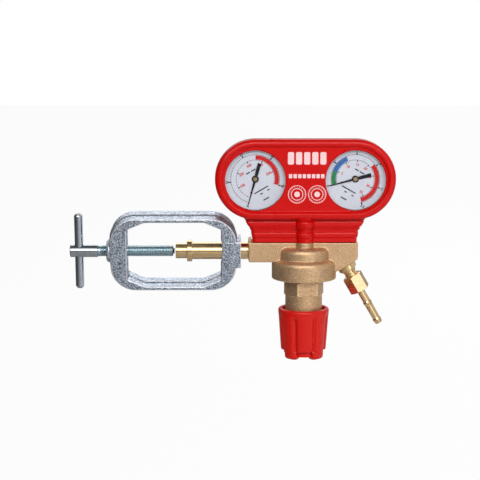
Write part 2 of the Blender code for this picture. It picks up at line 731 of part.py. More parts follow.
def build_yoke(zinc, steel):
    axis = add_axis("yoke_axis", turn=(YOKE_TILT, 0, 0))
    outline = rounded_rectangle(YOKE_LEFT, YOKE_RIGHT, YOKE_HALF_HEIGHT, YOKE_CORNER_RADIUS, 6)
    yoke = add_object("yoke", prism(outline, -YOKE_HALF_DEPTH, YOKE_HALF_DEPTH), zinc, axis, turn=FACING)
    upper = [
        (YOKE_INNER_RIGHT, YOKE_LEG_HALF_HEIGHT),
        (YOKE_INNER_RIGHT - YOKE_CHAMFER_RUN, YOKE_INNER_HALF_HEIGHT),
        (YOKE_INNER_LEFT + YOKE_CHAMFER_RUN, YOKE_INNER_HALF_HEIGHT),
        (YOKE_INNER_LEFT, YOKE_LEG_HALF_HEIGHT),
    ]
    lower = [(x, -y) for x, y in reversed(upper)]
    through = YOKE_HALF_DEPTH + 1
    cut(yoke, prism(upper + lower, -through, through), turn=FACING, parent=axis)
    screw_boss = [(SCREW_BOSS_RADIUS, SCREW_BOSS_END), (SCREW_BOSS_RADIUS, YOKE_LEFT + 2)]
    join(yoke, turned(screw_boss), turn=ALONG_X, parent=axis)
    bush_boss = [(BUSH_BOSS_RADIUS, YOKE_RIGHT - 2), (BUSH_BOSS_RADIUS, BUSH_BOSS_END)]
    join(yoke, turned(bush_boss), turn=ALONG_X, parent=axis)
    screw_bore = SCREW_RADIUS + GAP
    screw_hole = [(screw_bore, SCREW_BOSS_END - 1), (screw_bore, YOKE_INNER_LEFT + 1)]
    cut(yoke, turned(screw_hole), turn=ALONG_X, parent=axis)
    bush_bore = BUSH_OUTER_RADIUS + GAP
    bush_hole = [(bush_bore, YOKE_INNER_RIGHT - 1), (bush_bore, BUSH_BOSS_END + 1)]
    cut(yoke, turned(bush_hole), turn=ALONG_X, parent=axis)
    bush_inner = STEM_RADIUS + GAP
    bush = [
        (BUSH_OUTER_RADIUS, YOKE_INNER_RIGHT + GAP),
        (BUSH_OUTER_RADIUS, BUSH_BOSS_END - 1),
        (bush_inner, BUSH_BOSS_END - 1),
        (bush_inner, YOKE_INNER_RIGHT + GAP),
    ]
    add_object("yoke_bush", turned(bush, closed=True), steel, turn=ALONG_X)


def build_clamp(zinc, steel):
    axis = add_axis("clamp_axis")
    pocket_radius = PAD_SPIGOT_RADIUS + GAP
    screw = [
        (pocket_radius, PAD_SPIGOT_END - 0.5),
        (pocket_radius, SCREW_TIP),
        (SCREW_RADIUS - 1, SCREW_TIP),
        (SCREW_RADIUS, SCREW_TIP - 1),
        (SCREW_RADIUS, HUB_START),
        (HUB_RADIUS, HUB_START),
        (HUB_RADIUS, HUB_END + 1),
        (HUB_RADIUS - 1, HUB_END),
    ]
    clamp_screw = add_object("clamp_screw", turned(screw), zinc, axis, turn=ALONG_X)
    cross_hole = [(BAR_RADIUS + GAP, -HUB_RADIUS - 1), (BAR_RADIUS + GAP, HUB_RADIUS + 1)]
    cut(clamp_screw, turned(cross_hole), (BAR_X, 0, 0), (BAR_TILT, 0, 0), axis)
    half = BAR_LENGTH / 2
    crown = arc((0, half - BAR_RADIUS), BAR_RADIUS, 0, 75, 3)
    bar = [(r, -z) for r, z in reversed(crown)] + crown
    add_object("tommy_bar", turned(bar, 16), zinc, axis, (BAR_X, 0, 0), (BAR_TILT, 0, 0))
    pad = [
        (PAD_SPIGOT_RADIUS, PAD_SPIGOT_END),
        (PAD_SPIGOT_RADIUS, SCREW_TIP + GAP),
        (PAD_RADIUS, SCREW_TIP + GAP),
        (PAD_RADIUS, PAD_FACE - PAD_CHAMFER),
        (PAD_RADIUS - PAD_CHAMFER, PAD_FACE),
    ]
    add_object("screw_pad", turned(pad, 16), steel, turn=ALONG_X)


def build_outlet(brass):
    axis = add_axis("outlet_axis", place=OUTLET_FACE, turn=ALONG_OUTLET)
    adapter = [
        (ADAPTER_THREAD_RADIUS, ADAPTER_THREAD_END),
        (ADAPTER_THREAD_RADIUS, GAP),
        (ADAPTER_COLLAR_RADIUS, GAP),
        (ADAPTER_COLLAR_RADIUS, ADAPTER_COLLAR_END),
        (SPIGOT_RADIUS, ADAPTER_COLLAR_END),
        (SPIGOT_RADIUS, SPIGOT_END),
        (PASSAGE_RADIUS, SPIGOT_END),
        (PASSAGE_RADIUS, ADAPTER_THREAD_END),
    ]
    add_object("outlet_adapter", turned(adapter, closed=True), brass, axis)
    hex_turn = (0, 0, NUT_HEX_TURN)
    nut = add_object("outlet_nut", prism(hexagon(NUT_FLATS), NUT_START, NUT_END), brass, axis, turn=hex_turn)
    thread_radius = SPIGOT_RADIUS + GAP
    wall_radius = TAIL_RADIUS + TAIL_CLEARANCE
    bore = [
        (thread_radius, NUT_START - 1),
        (thread_radius, NUT_WALL),
        (wall_radius, NUT_WALL),
        (wall_radius, NUT_END + 1),
    ]
    cut(nut, turned(bore), parent=axis)
    tail = [
        (TAIL_BORE_RADIUS, SPIGOT_END + GAP),
        (TAIL_HEAD_RADIUS - 1, SPIGOT_END + GAP),
        (TAIL_HEAD_RADIUS, SPIGOT_END + 1.5),
        (TAIL_HEAD_RADIUS, NUT_WALL - GAP),
        (TAIL_RADIUS, NUT_WALL - GAP),
        (TAIL_RADIUS, TAIL_BARB - 1),
        (TAIL_BARB_RADIUS, TAIL_BARB),
        (TAIL_RADIUS, TAIL_BARB + 3),
        (TAIL_RADIUS, TAIL_END - 5),
        (TAIL_BARB_RADIUS, TAIL_END - 4),
        (TAIL_END_RADIUS, TAIL_END),
        (TAIL_BORE_RADIUS, TAIL_END),
    ]
    add_object("hose_tail", turned(tail, 20, closed=True), brass, axis)


def skirt(inset, front, back, low, high):
    """Stepped skirt between two depths; inset leaves room for its walls."""
    rings = []
    for height, half_width in SKIRT_HALF_WIDTHS:
        reach = half_width - inset
        rings.append([(x, y, height) for x, y in rectangle(-reach, reach, -front, -back)])
    top = [(x, y, high) for x, y, _ in rings[0]]
    bottom = [(x, y, low) for x, y, _ in rings[-1]]
    return loft([top] + rings[1:-1] + [bottom])


def build_front_housing(plastic):
    shell = [(SHELL_SPLIT_RADIUS, SHELL_SPLIT), (SHELL_RADIUS, SHELL_TAPER_START)]
    shell += arc((SHELL_RADIUS - SHELL_FILLET, SHELL_FRONT - SHELL_FILLET), SHELL_FILLET, 0, 90, 4)
    shell += [(PANEL_RADIUS + 1.5, SHELL_FRONT - 0.8), (PANEL_RADIUS, PANEL_FRONT)]
    housing = add_object("front_housing", stadium_loft(shell), plastic, turn=FACING)
    join(housing, skirt(0, SKIRT_FRONT, SHELL_SPLIT, SKIRT_BOTTOM, SKIRT_TOP))
    bulge = [(BULGE_RADIUS, SKIRT_BOTTOM), (BULGE_RADIUS, BULGE_TOP), (BULGE_RADIUS - 3, BULGE_TOP + 4)]
    join(housing, turned(bulge), (0, FRONT_BOSS_AXIS_Y, 0))
    inside = [(SHELL_INSIDE, SHELL_SPLIT - 1), (SHELL_INSIDE, PANEL_BACK)]
    cut(housing, stadium_loft(inside), turn=FACING)
    inner_front = SKIRT_FRONT - SKIRT_WALL
    cut(housing, skirt(SKIRT_WALL, inner_front, SHELL_SPLIT - 1, SKIRT_BOTTOM - 2, SKIRT_HOLLOW_TOP))
    for side in (-1, 1):
        opening = [(WINDOW_OPENING_RADIUS, PANEL_BACK - 1), (WINDOW_OPENING_RADIUS, SHELL_FRONT + 1)]
        cut(housing, turned(opening, FINE), (side * GAUGE_X, 0, GAUGE_Z), FACING)
    for x, z in SCREW_PLACES:
        front = PANEL_BACK + 1 if z > SKIRT_TOP else SKIRT_FRONT - 1
        post = [(POST_RADIUS, SHELL_SPLIT), (POST_RADIUS, front)]
        join(housing, turned(post, SMALL), (x, 0, z), FACING)
        hole = [(POST_HOLE_RADIUS, SHELL_SPLIT - 1), (POST_HOLE_RADIUS, SCREW_POINT + GAP)]
        cut(housing, turned(hole, SMALL), (x, 0, z), FACING)


def build_back_housing(plastic):
    split = SHELL_SPLIT - GAP
    shell = [
        (SHELL_SPLIT_RADIUS, split),
        (SHELL_BACK_RADIUS, SHELL_BACK_SHOULDER),
        (SHELL_BACK_RADIUS - 1.2, SHELL_BACK + 1.2),
        (SHELL_BACK_RADIUS - 4, SHELL_BACK),
    ]
    housing = add_object("back_housing", stadium_loft(shell), plastic, turn=FACING)
    join(housing, skirt(0, split, SKIRT_BACK, SKIRT_BOTTOM, SKIRT_TOP))
    inside = [(SHELL_BACK_INSIDE, split + 1), (SHELL_BACK_INSIDE, SHELL_BACK + SHELL_WALL)]
    cut(housing, stadium_loft(inside), turn=FACING)
    inner_back = SKIRT_BACK + SKIRT_WALL
    cut(housing, skirt(SKIRT_WALL, split + 1, inner_back, SKIRT_BOTTOM - 2, SKIRT_HOLLOW_TOP))
    for x, z in SCREW_PLACES:
        back = SHELL_BACK + 1 if z > SKIRT_TOP else SKIRT_BACK
        sleeve = [(SLEEVE_RADIUS, split), (SLEEVE_RADIUS, back)]
        join(housing, turned(sleeve, SMALL), (x, 0, z), FACING)
        hole = [
            (SLEEVE_HOLE_RADIUS, split + 1),
            (SLEEVE_HOLE_RADIUS, head_floor(z)),
            (HEAD_POCKET_RADIUS, head_floor(z)),
            (HEAD_POCKET_RADIUS, SHELL_BACK - 1),
        ]
        cut(housing, turned(hole, SMALL), (x, 0, z), FACING)


def head_floor(z):
    """Depth of a screw head's pocket floor; the skirt is shallower than the shell."""
    if z > SKIRT_TOP:
        return HEAD_POCKET_FLOOR
    return HEAD_POCKET_FLOOR + SKIRT_BACK - SHELL_BACK


def build_housing_screws(steel):
    for number, (x, z) in enumerate(SCREW_PLACES, 1):
        seat = head_floor(z) - GAP
        screw = [
            (POST_HOLE_RADIUS - GAP, SCREW_POINT),
            (POST_HOLE_RADIUS - GAP, seat),
            (SCREW_HEAD_RADIUS, seat),
            (SCREW_HEAD_RADIUS, seat - SCREW_HEAD_HEIGHT),
        ]
        add_object(f"housing_screw_{number}", turned(screw, SMALL), steel, place=(x, 0, z), turn=FACING)


def bar_outline(start, end, half_width):
    """Flat bar with round ends between two pivots."""
    heading = math.degrees(math.atan2(end[1] - start[1], end[0] - start[0]))
    far = arc(end, half_width, heading - 90, heading + 90, 4)
    near = arc(start, half_width, heading + 90, heading + 270, 4)
    return far + near


def polar(centre, radius, degrees):
    angle = math.radians(degrees)
    return (centre[0] + radius * math.cos(angle), centre[1] + radius * math.sin(angle))


def tube_ring(degrees, front):
    inner = TUBE_RADIUS - TUBE_HALF_WIDTH
    outer = TUBE_RADIUS + TUBE_HALF_WIDTH
    x0, y0 = polar((0, 0), inner, degrees)
    x1, y1 = polar((0, 0), outer, degrees)
    return [(x0, y0, TUBE_BACK), (x1, y1, TUBE_BACK), (x1, y1, front), (x0, y0, front)]


def build_gauge(prefix, side, materials):
    """One Bourdon gauge. side is -1 for the left gauge and +1 for the right one."""
    frame = add_axis(f"{prefix}_axis", place=port_place(side), turn=(90, side * GAUGE_TILT, 0))
    build_gauge_case(prefix, frame, materials)
    build_gauge_socket(prefix, frame, materials)
    build_movement(prefix, frame, materials["brass"])
    build_pointer(prefix, frame, materials)


def build_gauge_case(prefix, frame, materials):
    inside = CASE_RADIUS - CASE_WALL
    cup = [
        (inside, CASE_BACK + CASE_WALL),
        (inside, CASE_FRONT),
        (CASE_RADIUS, CASE_FRONT),
        (CASE_RADIUS, CASE_BACK),
    ]
    case = add_object(f"{prefix}_case", turned(cup, FINE), materials["steel"], frame)
    neck_hole = [(SOCKET_NECK_RADIUS + GAP, inside - 2), (SOCKET_NECK_RADIUS + GAP, CASE_RADIUS + 1)]
    cut(case, turned(neck_hole, 16), turn=FACING, parent=frame)
    window = [(WINDOW_RADIUS, WINDOW_BACK), (WINDOW_RADIUS, WINDOW_FRONT)]
    add_object(f"{prefix}_window", turned(window, FINE), materials["clear"], frame)
    hole = STAFF_HOLE_RADIUS + 0.6
    dial = [(hole, DIAL_BACK), (DIAL_RADIUS, DIAL_BACK), (DIAL_RADIUS, DIAL_FRONT), (hole, DIAL_FRONT)]
    add_object(f"{prefix}_dial", turned(dial, FINE, closed=True), materials["dial"], frame)


def build_gauge_socket(prefix, frame, materials):
    block = rectangle(-SOCKET_HALF_WIDTH, SOCKET_HALF_WIDTH, SOCKET_BOTTOM, SOCKET_TOP)
    brass = materials["brass"]
    socket = add_object(f"{prefix}_socket", prism(block, SOCKET_BACK, SOCKET_FRONT), brass, frame)
    stem = [
        (SOCKET_NECK_RADIUS, -SOCKET_BOTTOM - 1),
        (SOCKET_NECK_RADIUS, SOCKET_HEX_START),
        (SOCKET_HEX_RADIUS, SOCKET_HEX_START),
        (SOCKET_HEX_RADIUS, SOCKET_HEX_END),
        (GAUGE_STEM_RADIUS, SOCKET_HEX_END),
        (GAUGE_STEM_RADIUS, GAUGE_STEM_END),
    ]
    join(socket, turned(stem, 16), turn=FACING, parent=frame)
    inner = GAUGE_STEM_RADIUS + GAP
    washer = [
        (inner, SOCKET_HEX_END + GAP),
        (WASHER_RADIUS, SOCKET_HEX_END + GAP),
        (WASHER_RADIUS, WASHER_END),
        (inner, WASHER_END),
    ]
    add_object(f"{prefix}_washer", turned(washer, 16, closed=True), materials["copper"], frame, turn=FACING)
    step = (TUBE_END_ANGLE - TUBE_START_ANGLE) / TUBE_STEPS
    rings = [tube_ring(TUBE_START_ANGLE + step * i, TUBE_FRONT) for i in range(TUBE_STEPS + 1)]
    rings += [tube_ring(TUBE_END_ANGLE - 1, TUBE_TIP_FRONT), tube_ring(TUBE_TIP_ANGLE, TUBE_TIP_FRONT)]
    add_object(f"{prefix}_bourdon_tube", loft(rings), materials["copper"], frame)


def build_movement(prefix, frame, brass):
    plate = rectangle(PLATE_LEFT, PLATE_RIGHT, PLATE_LOW, PLATE_HIGH)
    movement = add_object(f"{prefix}_movement_frame", prism(plate, *BACK_PLATE), brass, frame)
    for x, y in PILLARS:
        pillar = [(PILLAR_RADIUS, BACK_PLATE[0] + JOIN_DEPTH), (PILLAR_RADIUS, FRONT_PLATE[1] - JOIN_DEPTH)]
        join(movement, turned(pillar, 8), (x, y, 0), parent=frame)
    join(movement, prism(plate, *FRONT_PLATE), parent=frame)
    for x, y in DIAL_POSTS:
        post = [(PILLAR_RADIUS, FRONT_PLATE[1] - JOIN_DEPTH), (PILLAR_RADIUS, DIAL_POST_FRONT)]
        join(movement, turned(post, 8), (x, y, 0), parent=frame)
    for x, y in ((0, 0), SECTOR_PIVOT):
        hole = [(STAFF_HOLE_RADIUS, BACK_PLATE[0] - 1), (STAFF_HOLE_RADIUS, FRONT_PLATE[1] + 1)]
        cut(movement, turned(hole, SMALL), (x, y, 0), parent=frame)

    pivot = add_axis(f"{prefix}_sector_axis", frame, (SECTOR_PIVOT[0], SECTOR_PIVOT[1], 0))
    tail = (TAIL_PIVOT[0] - SECTOR_PIVOT[0], TAIL_PIVOT[1] - SECTOR_PIVOT[1])
    outline = arc((0, 0), SECTOR_RADIUS, SECTOR_FROM, SECTOR_TO, 6)
    outline += arc((0, 0), SECTOR_HUB_RADIUS, 130, 210, 3)
    outline += arc(tail, EYE_RADIUS, 210, 390, 5)
    outline.append(polar((0, 0), SECTOR_HUB_RADIUS, 15))
    sector = add_object(f"{prefix}_sector_gear", prism(outline, *SECTOR_PLANE), brass, pivot)
    staff = [(STAFF_RADIUS, STAFF_PLANE[0]), (STAFF_RADIUS, STAFF_PLANE[1])]
    join(sector, turned(staff, SMALL), parent=pivot)
    eye = [(EYE_HOLE_RADIUS, SECTOR_PLANE[0] - 1), (EYE_HOLE_RADIUS, SECTOR_PLANE[1] + 1)]
    cut(sector, turned(eye, SMALL), (tail[0], tail[1], 0), parent=pivot)

    link_axis = add_axis(f"{prefix}_link_axis", frame, (TAIL_PIVOT[0], TAIL_PIVOT[1], 0))
    reach = (LINK_END[0] - TAIL_PIVOT[0], LINK_END[1] - TAIL_PIVOT[1])
    bar = bar_outline((0, 0), reach, LINK_HALF_WIDTH)
    link = add_object(f"{prefix}_link", prism(bar, *LINK_PLANE), brass, link_axis)
    pin = [(LINK_PIN_RADIUS, SECTOR_PLANE[0] - JOIN_DEPTH), (LINK_PIN_RADIUS, LINK_PLANE[0] + 2 * JOIN_DEPTH)]
    join(link, turned(pin, 8), parent=link_axis)


def build_pointer(prefix, frame, materials):
    arbor = [
        (STAFF_RADIUS, STAFF_PLANE[0]),
        (STAFF_RADIUS, PINION_PLANE[0]),
        (PINION_RADIUS, PINION_PLANE[0]),
        (PINION_RADIUS, PINION_PLANE[1]),
        (STAFF_RADIUS, PINION_PLANE[1]),
        (STAFF_RADIUS, ARBOR_CAP[0]),
        (ARBOR_CAP_RADIUS, ARBOR_CAP[0]),
        (ARBOR_CAP_RADIUS, ARBOR_CAP[1]),
    ]
    add_object(f"{prefix}_arbor", turned(arbor, SMALL), materials["brass"], frame)
    rings = []
    steps = int(HAIRSPRING_TURNS * SMALL)
    for i in range(steps + 1):
        radius = HAIRSPRING_INNER + (HAIRSPRING_OUTER - HAIRSPRING_INNER) * i / steps
        inner = polar((0, 0), radius, 360 * i / SMALL)
        outer = polar((0, 0), radius + HAIRSPRING_THICKNESS, 360 * i / SMALL)
        low, high = HAIRSPRING_PLANE
        rings.append([(*inner, low), (*outer, low), (*outer, high), (*inner, high)])
    add_object(f"{prefix}_hairspring", loft(rings), materials["steel"], frame)
    upper = [(POINTER_TIP, POINTER_TIP_HALF), (0, POINTER_MIDDLE_HALF), (POINTER_TAIL, POINTER_TAIL_HALF)]
    lower = [(x, -y) for x, y in reversed(upper)]
    blade = prism(lower + upper, *POINTER_BLADE)
    rest = (0, 0, POINTER_ZERO_ANGLE)
    pointer = add_object(f"{prefix}_pointer", blade, materials["black"], frame, turn=rest)
    hub = [(POINTER_HUB_RADIUS, POINTER_HUB[0]), (POINTER_HUB_RADIUS, POINTER_HUB[1])]
    join(pointer, turned(hub, 16), parent=frame)
    bore = [(STAFF_HOLE_RADIUS, POINTER_HUB[0] - 1), (STAFF_HOLE_RADIUS, POINTER_HUB[1] + 1)]
    cut(pointer, turned(bore, SMALL), parent=frame)


def main():
    clear_scene()
    cast_brass = make_material("cast_brass", (185, 150, 110), 0.5, 1.0)
    turned_brass = make_material("turned_brass", (225, 185, 125), 0.25, 1.0)
    zinc = make_material("zinc_plate", (165, 175, 188), 0.35, 1.0)
    steel = make_material("bright_steel", (190, 192, 196), 0.3, 1.0)
    red = make_material("red_plastic", (203, 25, 16), 0.3, 0.0)
    rubber = make_material("black_rubber", (30, 30, 32), 0.7, 0.0)
    sinter = make_material("sintered_bronze", (150, 110, 70), 0.8, 1.0)
    gauge_materials = {
        "brass": turned_brass,
        "steel": steel,
        "copper": make_material("copper_alloy", (190, 120, 85), 0.35, 1.0),
        "dial": make_material("dial_white", (225, 228, 232), 0.5, 0.0),
        "black": make_material("pointer_black", (20, 20, 22), 0.45, 0.0),
        "clear": make_material("clear_lens", (235, 240, 242), 0.05, 0.0),
    }
    build_body(cast_brass)
    build_bonnet(cast_brass)
    build_range_spring(steel, turned_brass, rubber)
    build_valve(turned_brass, steel)
    build_knob(red, steel)
    build_inlet(turned_brass, sinter)
    build_yoke(zinc, steel)
    build_clamp(zinc, steel)
    build_outlet(turned_brass)
    build_front_housing(red)
    build_back_housing(red)
    build_housing_screws(steel)
    build_gauge("inlet_gauge", -1, gauge_materials)
    build_gauge("outlet_gauge", 1, gauge_materials)


main()
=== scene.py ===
"""Looks of the gas regulator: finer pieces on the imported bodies, procedural materials, light and camera.

Lengths are in millimetres and become metres through MM. Pieces are laid out from the point where
the inlet axis (X) meets the regulator axis (Z), which the record's joints place in the world.
"""

import json
import math

import bmesh
import bpy
from mathutils import Euler, Matrix, Vector


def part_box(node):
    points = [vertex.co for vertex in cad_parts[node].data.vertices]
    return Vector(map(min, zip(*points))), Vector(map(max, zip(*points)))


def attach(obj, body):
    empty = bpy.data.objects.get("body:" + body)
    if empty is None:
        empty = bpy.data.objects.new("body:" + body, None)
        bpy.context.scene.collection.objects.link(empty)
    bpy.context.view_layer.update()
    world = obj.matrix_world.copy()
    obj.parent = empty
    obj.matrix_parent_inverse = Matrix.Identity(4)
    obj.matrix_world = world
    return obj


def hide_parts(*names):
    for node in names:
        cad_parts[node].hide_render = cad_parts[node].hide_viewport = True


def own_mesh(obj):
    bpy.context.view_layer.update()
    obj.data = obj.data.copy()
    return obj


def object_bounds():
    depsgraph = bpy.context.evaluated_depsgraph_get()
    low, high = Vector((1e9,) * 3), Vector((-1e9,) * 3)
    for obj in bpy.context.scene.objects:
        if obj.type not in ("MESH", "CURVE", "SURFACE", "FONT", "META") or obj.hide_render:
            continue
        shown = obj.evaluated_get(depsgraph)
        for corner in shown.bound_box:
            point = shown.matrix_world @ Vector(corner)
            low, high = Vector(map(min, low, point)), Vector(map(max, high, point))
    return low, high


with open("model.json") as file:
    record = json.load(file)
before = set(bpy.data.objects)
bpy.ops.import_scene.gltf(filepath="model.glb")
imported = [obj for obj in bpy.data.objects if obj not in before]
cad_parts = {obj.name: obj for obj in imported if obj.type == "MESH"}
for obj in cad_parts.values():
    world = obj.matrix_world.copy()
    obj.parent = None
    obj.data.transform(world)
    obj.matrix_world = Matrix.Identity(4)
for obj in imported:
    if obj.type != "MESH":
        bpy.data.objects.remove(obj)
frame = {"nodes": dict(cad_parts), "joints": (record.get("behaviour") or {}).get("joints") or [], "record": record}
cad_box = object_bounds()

MM = 0.001
JOINTS = {joint["name"]: joint for joint in frame["joints"]}
CROSSING = Vector((JOINTS["knob_turn"]["pos_m"][0], 0.0, 0.0))
OUTLET = Vector(JOINTS["nut_turn"]["pos_m"])
GAUGE_POINTS = {
    "inlet_gauge": Vector(JOINTS["inlet_gauge_pointer_turn"]["pos_m"]),
    "outlet_gauge": Vector(JOINTS["outlet_gauge_pointer_turn"]["pos_m"]),
}
GAUGE_TILT = {"inlet_gauge": -30.0, "outlet_gauge": 30.0}
GAUGE_X = (GAUGE_POINTS["outlet_gauge"].x - CROSSING.x) / MM
GAUGE_Z = GAUGE_POINTS["outlet_gauge"].z / MM

FACING = (90, 0, 0)
ALONG_X = (0, 90, 0)
OUTLET_TURN = (0, 150, 0)
YOKE_TILT = 15.0

# Sizes shared by several pieces
BLOCK_LEFT = -52.0
BLOCK_TOP = 8.9
SKIRT_BOTTOM = 9.6
BULGE_RADIUS = 9.2
BULGE_Y = -10.4
SHELL_SPLIT = -6.0
PANEL_FRONT = 17.7
FLANGE_BOTTOM = -26.0
DIAL_FRONT = 11.6
MAIN_COIL, MAIN_WIRE, MAIN_TURNS = 9.4, 1.6, 6
POPPET_COIL, POPPET_WIRE, POPPET_TURNS = 3.3, 0.4, 3
PRINT_HEIGHT = 0.05
SCREW_PLACES = ((0.0, 95.8), (0.0, 47.5), (-44.0, 22.5), (44.0, 22.5))


# ---------------------------------------------------------------- shapes

def pose(place=(0, 0, 0), turn=(0, 0, 0), origin=CROSSING):
    angles = [math.radians(angle) for angle in turn]
    return Matrix.Translation(origin + Vector(place) * MM) @ Euler(angles).to_matrix().to_4x4()


def tilted(turn):
    """Matrix of something in the yoke's own frame, which is tilted about the inlet axis."""
    return pose(turn=(YOKE_TILT, 0, 0)) @ pose(turn=turn, origin=Vector())


def loft(rings, matrix=Matrix.Identity(4), closed=False):
    """Skin through rings of points in millimetres, capped at both ends unless closed."""
    mesh = bmesh.new()
    rows = [[mesh.verts.new(matrix @ (Vector(point) * MM)) for point in ring] for ring in rings]
    pairs = list(zip(rows, rows[1:]))
    if closed:
        pairs.append((rows[-1], rows[0]))
    else:
        mesh.faces.new(rows[0])
        mesh.faces.new(rows[-1])
    for low, high in pairs:
        count = len(low)
        for i in range(count):
            j = (i + 1) % count
            mesh.faces.new((low[i], low[j], high[j], high[i]))
    bmesh.ops.recalc_face_normals(mesh, faces=mesh.faces[:])
    return mesh


def soften(points, steps=5, closed=False):
    """Outline through (x, y, radius) corners, each rounded to its radius as far as its sides allow."""
    outline = []
    count = len(points)
    for i, (x, y, radius) in enumerate(points):
        here = Vector((x, y))
        if radius <= 0 or (not closed and i in (0, count - 1)):
            outline.append((x, y))
            continue
        back = Vector(points[i - 1][:2]) - here
        ahead = Vector(points[(i + 1) % count][:2]) - here
        half = back.angle(ahead) / 2
        before, after = points[i - 1][2], points[(i + 1) % count][2]
        reach = min(radius / math.tan(half), 0.98 * back.length * radius / (radius + before),
                    0.98 * ahead.length * radius / (radius + after))
        weight = math.sin(half)
        start = here + back.normalized() * reach
        end = here + ahead.normalized() * reach
        for k in range(steps + 1):
            t = k / steps
            pull = 2 * weight * t * (1 - t)
            point = (start * (1 - t) ** 2 + here * pull + end * t * t) / ((1 - t) ** 2 + pull + t * t)
            outline.append((point.x, point.y))
    return outline


def ring(radius, height, count=96, phase=0.0):
    """Points round Z; radius is a number or a function of the angle in degrees."""
    points = []
    for i in range(count):
        degrees = 360 * i / count + phase
        reach = radius(degrees) if callable(radius) else radius
        level = height(degrees) if callable(height) else height
        angle = math.radians(degrees)
        points.append((reach * math.cos(angle), reach * math.sin(angle), level))
    return points


def turned(profile, matrix, count=96, closed=False, steps=5):
    """Solid of revolution about Z from (radius, height, corner radius) points."""
    outline = soften(profile, steps, closed)
    return loft([ring(r, z, count) for r, z in outline], matrix, closed)


def prism(outline, low, high, matrix):
    return loft([[(x, y, z) for x, y in outline] for z in (low, high)], matrix)


def box_outline(left, right, low, high, radius=0.0):
    corners = [(left, low, radius), (right, low, radius), (right, high, radius), (left, high, radius)]
    return soften(corners, closed=True)


def arc(centre, radius, start, end, steps):
    turns = [math.radians(start + (end - start) * i / steps) for i in range(steps + 1)]
    return [(centre[0] + radius * math.cos(t), centre[1] + radius * math.sin(t)) for t in turns]


def stadium(radius, steps=48):
    right = arc((GAUGE_X, GAUGE_Z), radius, -90, 90, steps)
    left = arc((-GAUGE_X, GAUGE_Z), radius, 90, 270, steps)
    return right + left


def hex_radius(flats, turn):
    """Radius of a hexagon by angle; turn is the direction of one flat's normal."""
    def radius(degrees):
        off = (degrees - turn + 30) % 60 - 30
        return flats / 2 / math.cos(math.radians(off))
    return radius


def smoothstep(value, low, high):
    t = min(max((value - low) / (high - low), 0.0), 1.0)
    return t * t * (3 - 2 * t)


def merged(meshes):
    """One bmesh that holds several separate closed shapes."""
    whole = bmesh.new()
    for mesh in meshes:
        data = bpy.data.meshes.new("part")
        mesh.to_mesh(data)
        mesh.free()
        whole.from_mesh(data)
        bpy.data.meshes.remove(data)
    return whole


def helper(mesh):
    data = bpy.data.meshes.new("helper")
    mesh.to_mesh(data)
    mesh.free()
    obj = bpy.data.objects.new("helper", data)
    bpy.context.scene.collection.objects.link(obj)
    return obj


def shaped(base, joins=(), cuts=(), voxel=0.0, smooth=0):
    """Mesh data of base with shapes joined and cut away, then remeshed and smoothed if asked."""
    obj = helper(base)
    tools = []
    for operation, shapes in (("UNION", joins), ("DIFFERENCE", cuts)):
        for shape in shapes:
            tool = helper(shape)
            tools.append(tool)
            modifier = obj.modifiers.new("boolean", "BOOLEAN")
            modifier.operation = operation
            modifier.solver = "EXACT"
            modifier.object = tool
    if voxel:
        modifier = obj.modifiers.new("remesh", "REMESH")
        modifier.mode = "VOXEL"
        modifier.voxel_size = voxel * MM
    if smooth:
        modifier = obj.modifiers.new("smooth", "SMOOTH")
        modifier.factor = 0.5
        modifier.iterations = smooth
    bpy.context.view_layer.update()
    evaluated = obj.evaluated_get(bpy.context.evaluated_depsgraph_get())
    data = bpy.data.meshes.new_from_object(evaluated)
    for used in [obj] + tools:
        bpy.data.objects.remove(used)
    return data


def piece(name, shape, material, body, nodes=(), angle=33.0):
    """Adds a finished piece that rides on a body and stands for CAD nodes."""
    if isinstance(shape, bmesh.types.BMesh):
        data = bpy.data.meshes.new(name)
        shape.to_mesh(data)
        shape.free()
    else:
        data = shape
    data.name = name
    data.materials.clear()
    data.materials.append(material)
    data.shade_smooth()
    data.set_sharp_from_angle(angle=math.radians(angle))
    obj = bpy.data.objects.new(name, data)
    bpy.context.scene.collection.objects.link(obj)
    modifier = obj.modifiers.new("normals", "WEIGHTED_NORMAL")
    modifier.keep_sharp = True
    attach(obj, body)
    if nodes:
        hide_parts(*nodes)
    return obj


# ---------------------------------------------------------------- materials

def linear(red, green, blue):
    return tuple((channel / 255.0) ** 2.2 for channel in (red, green, blue)) + (1.0,)


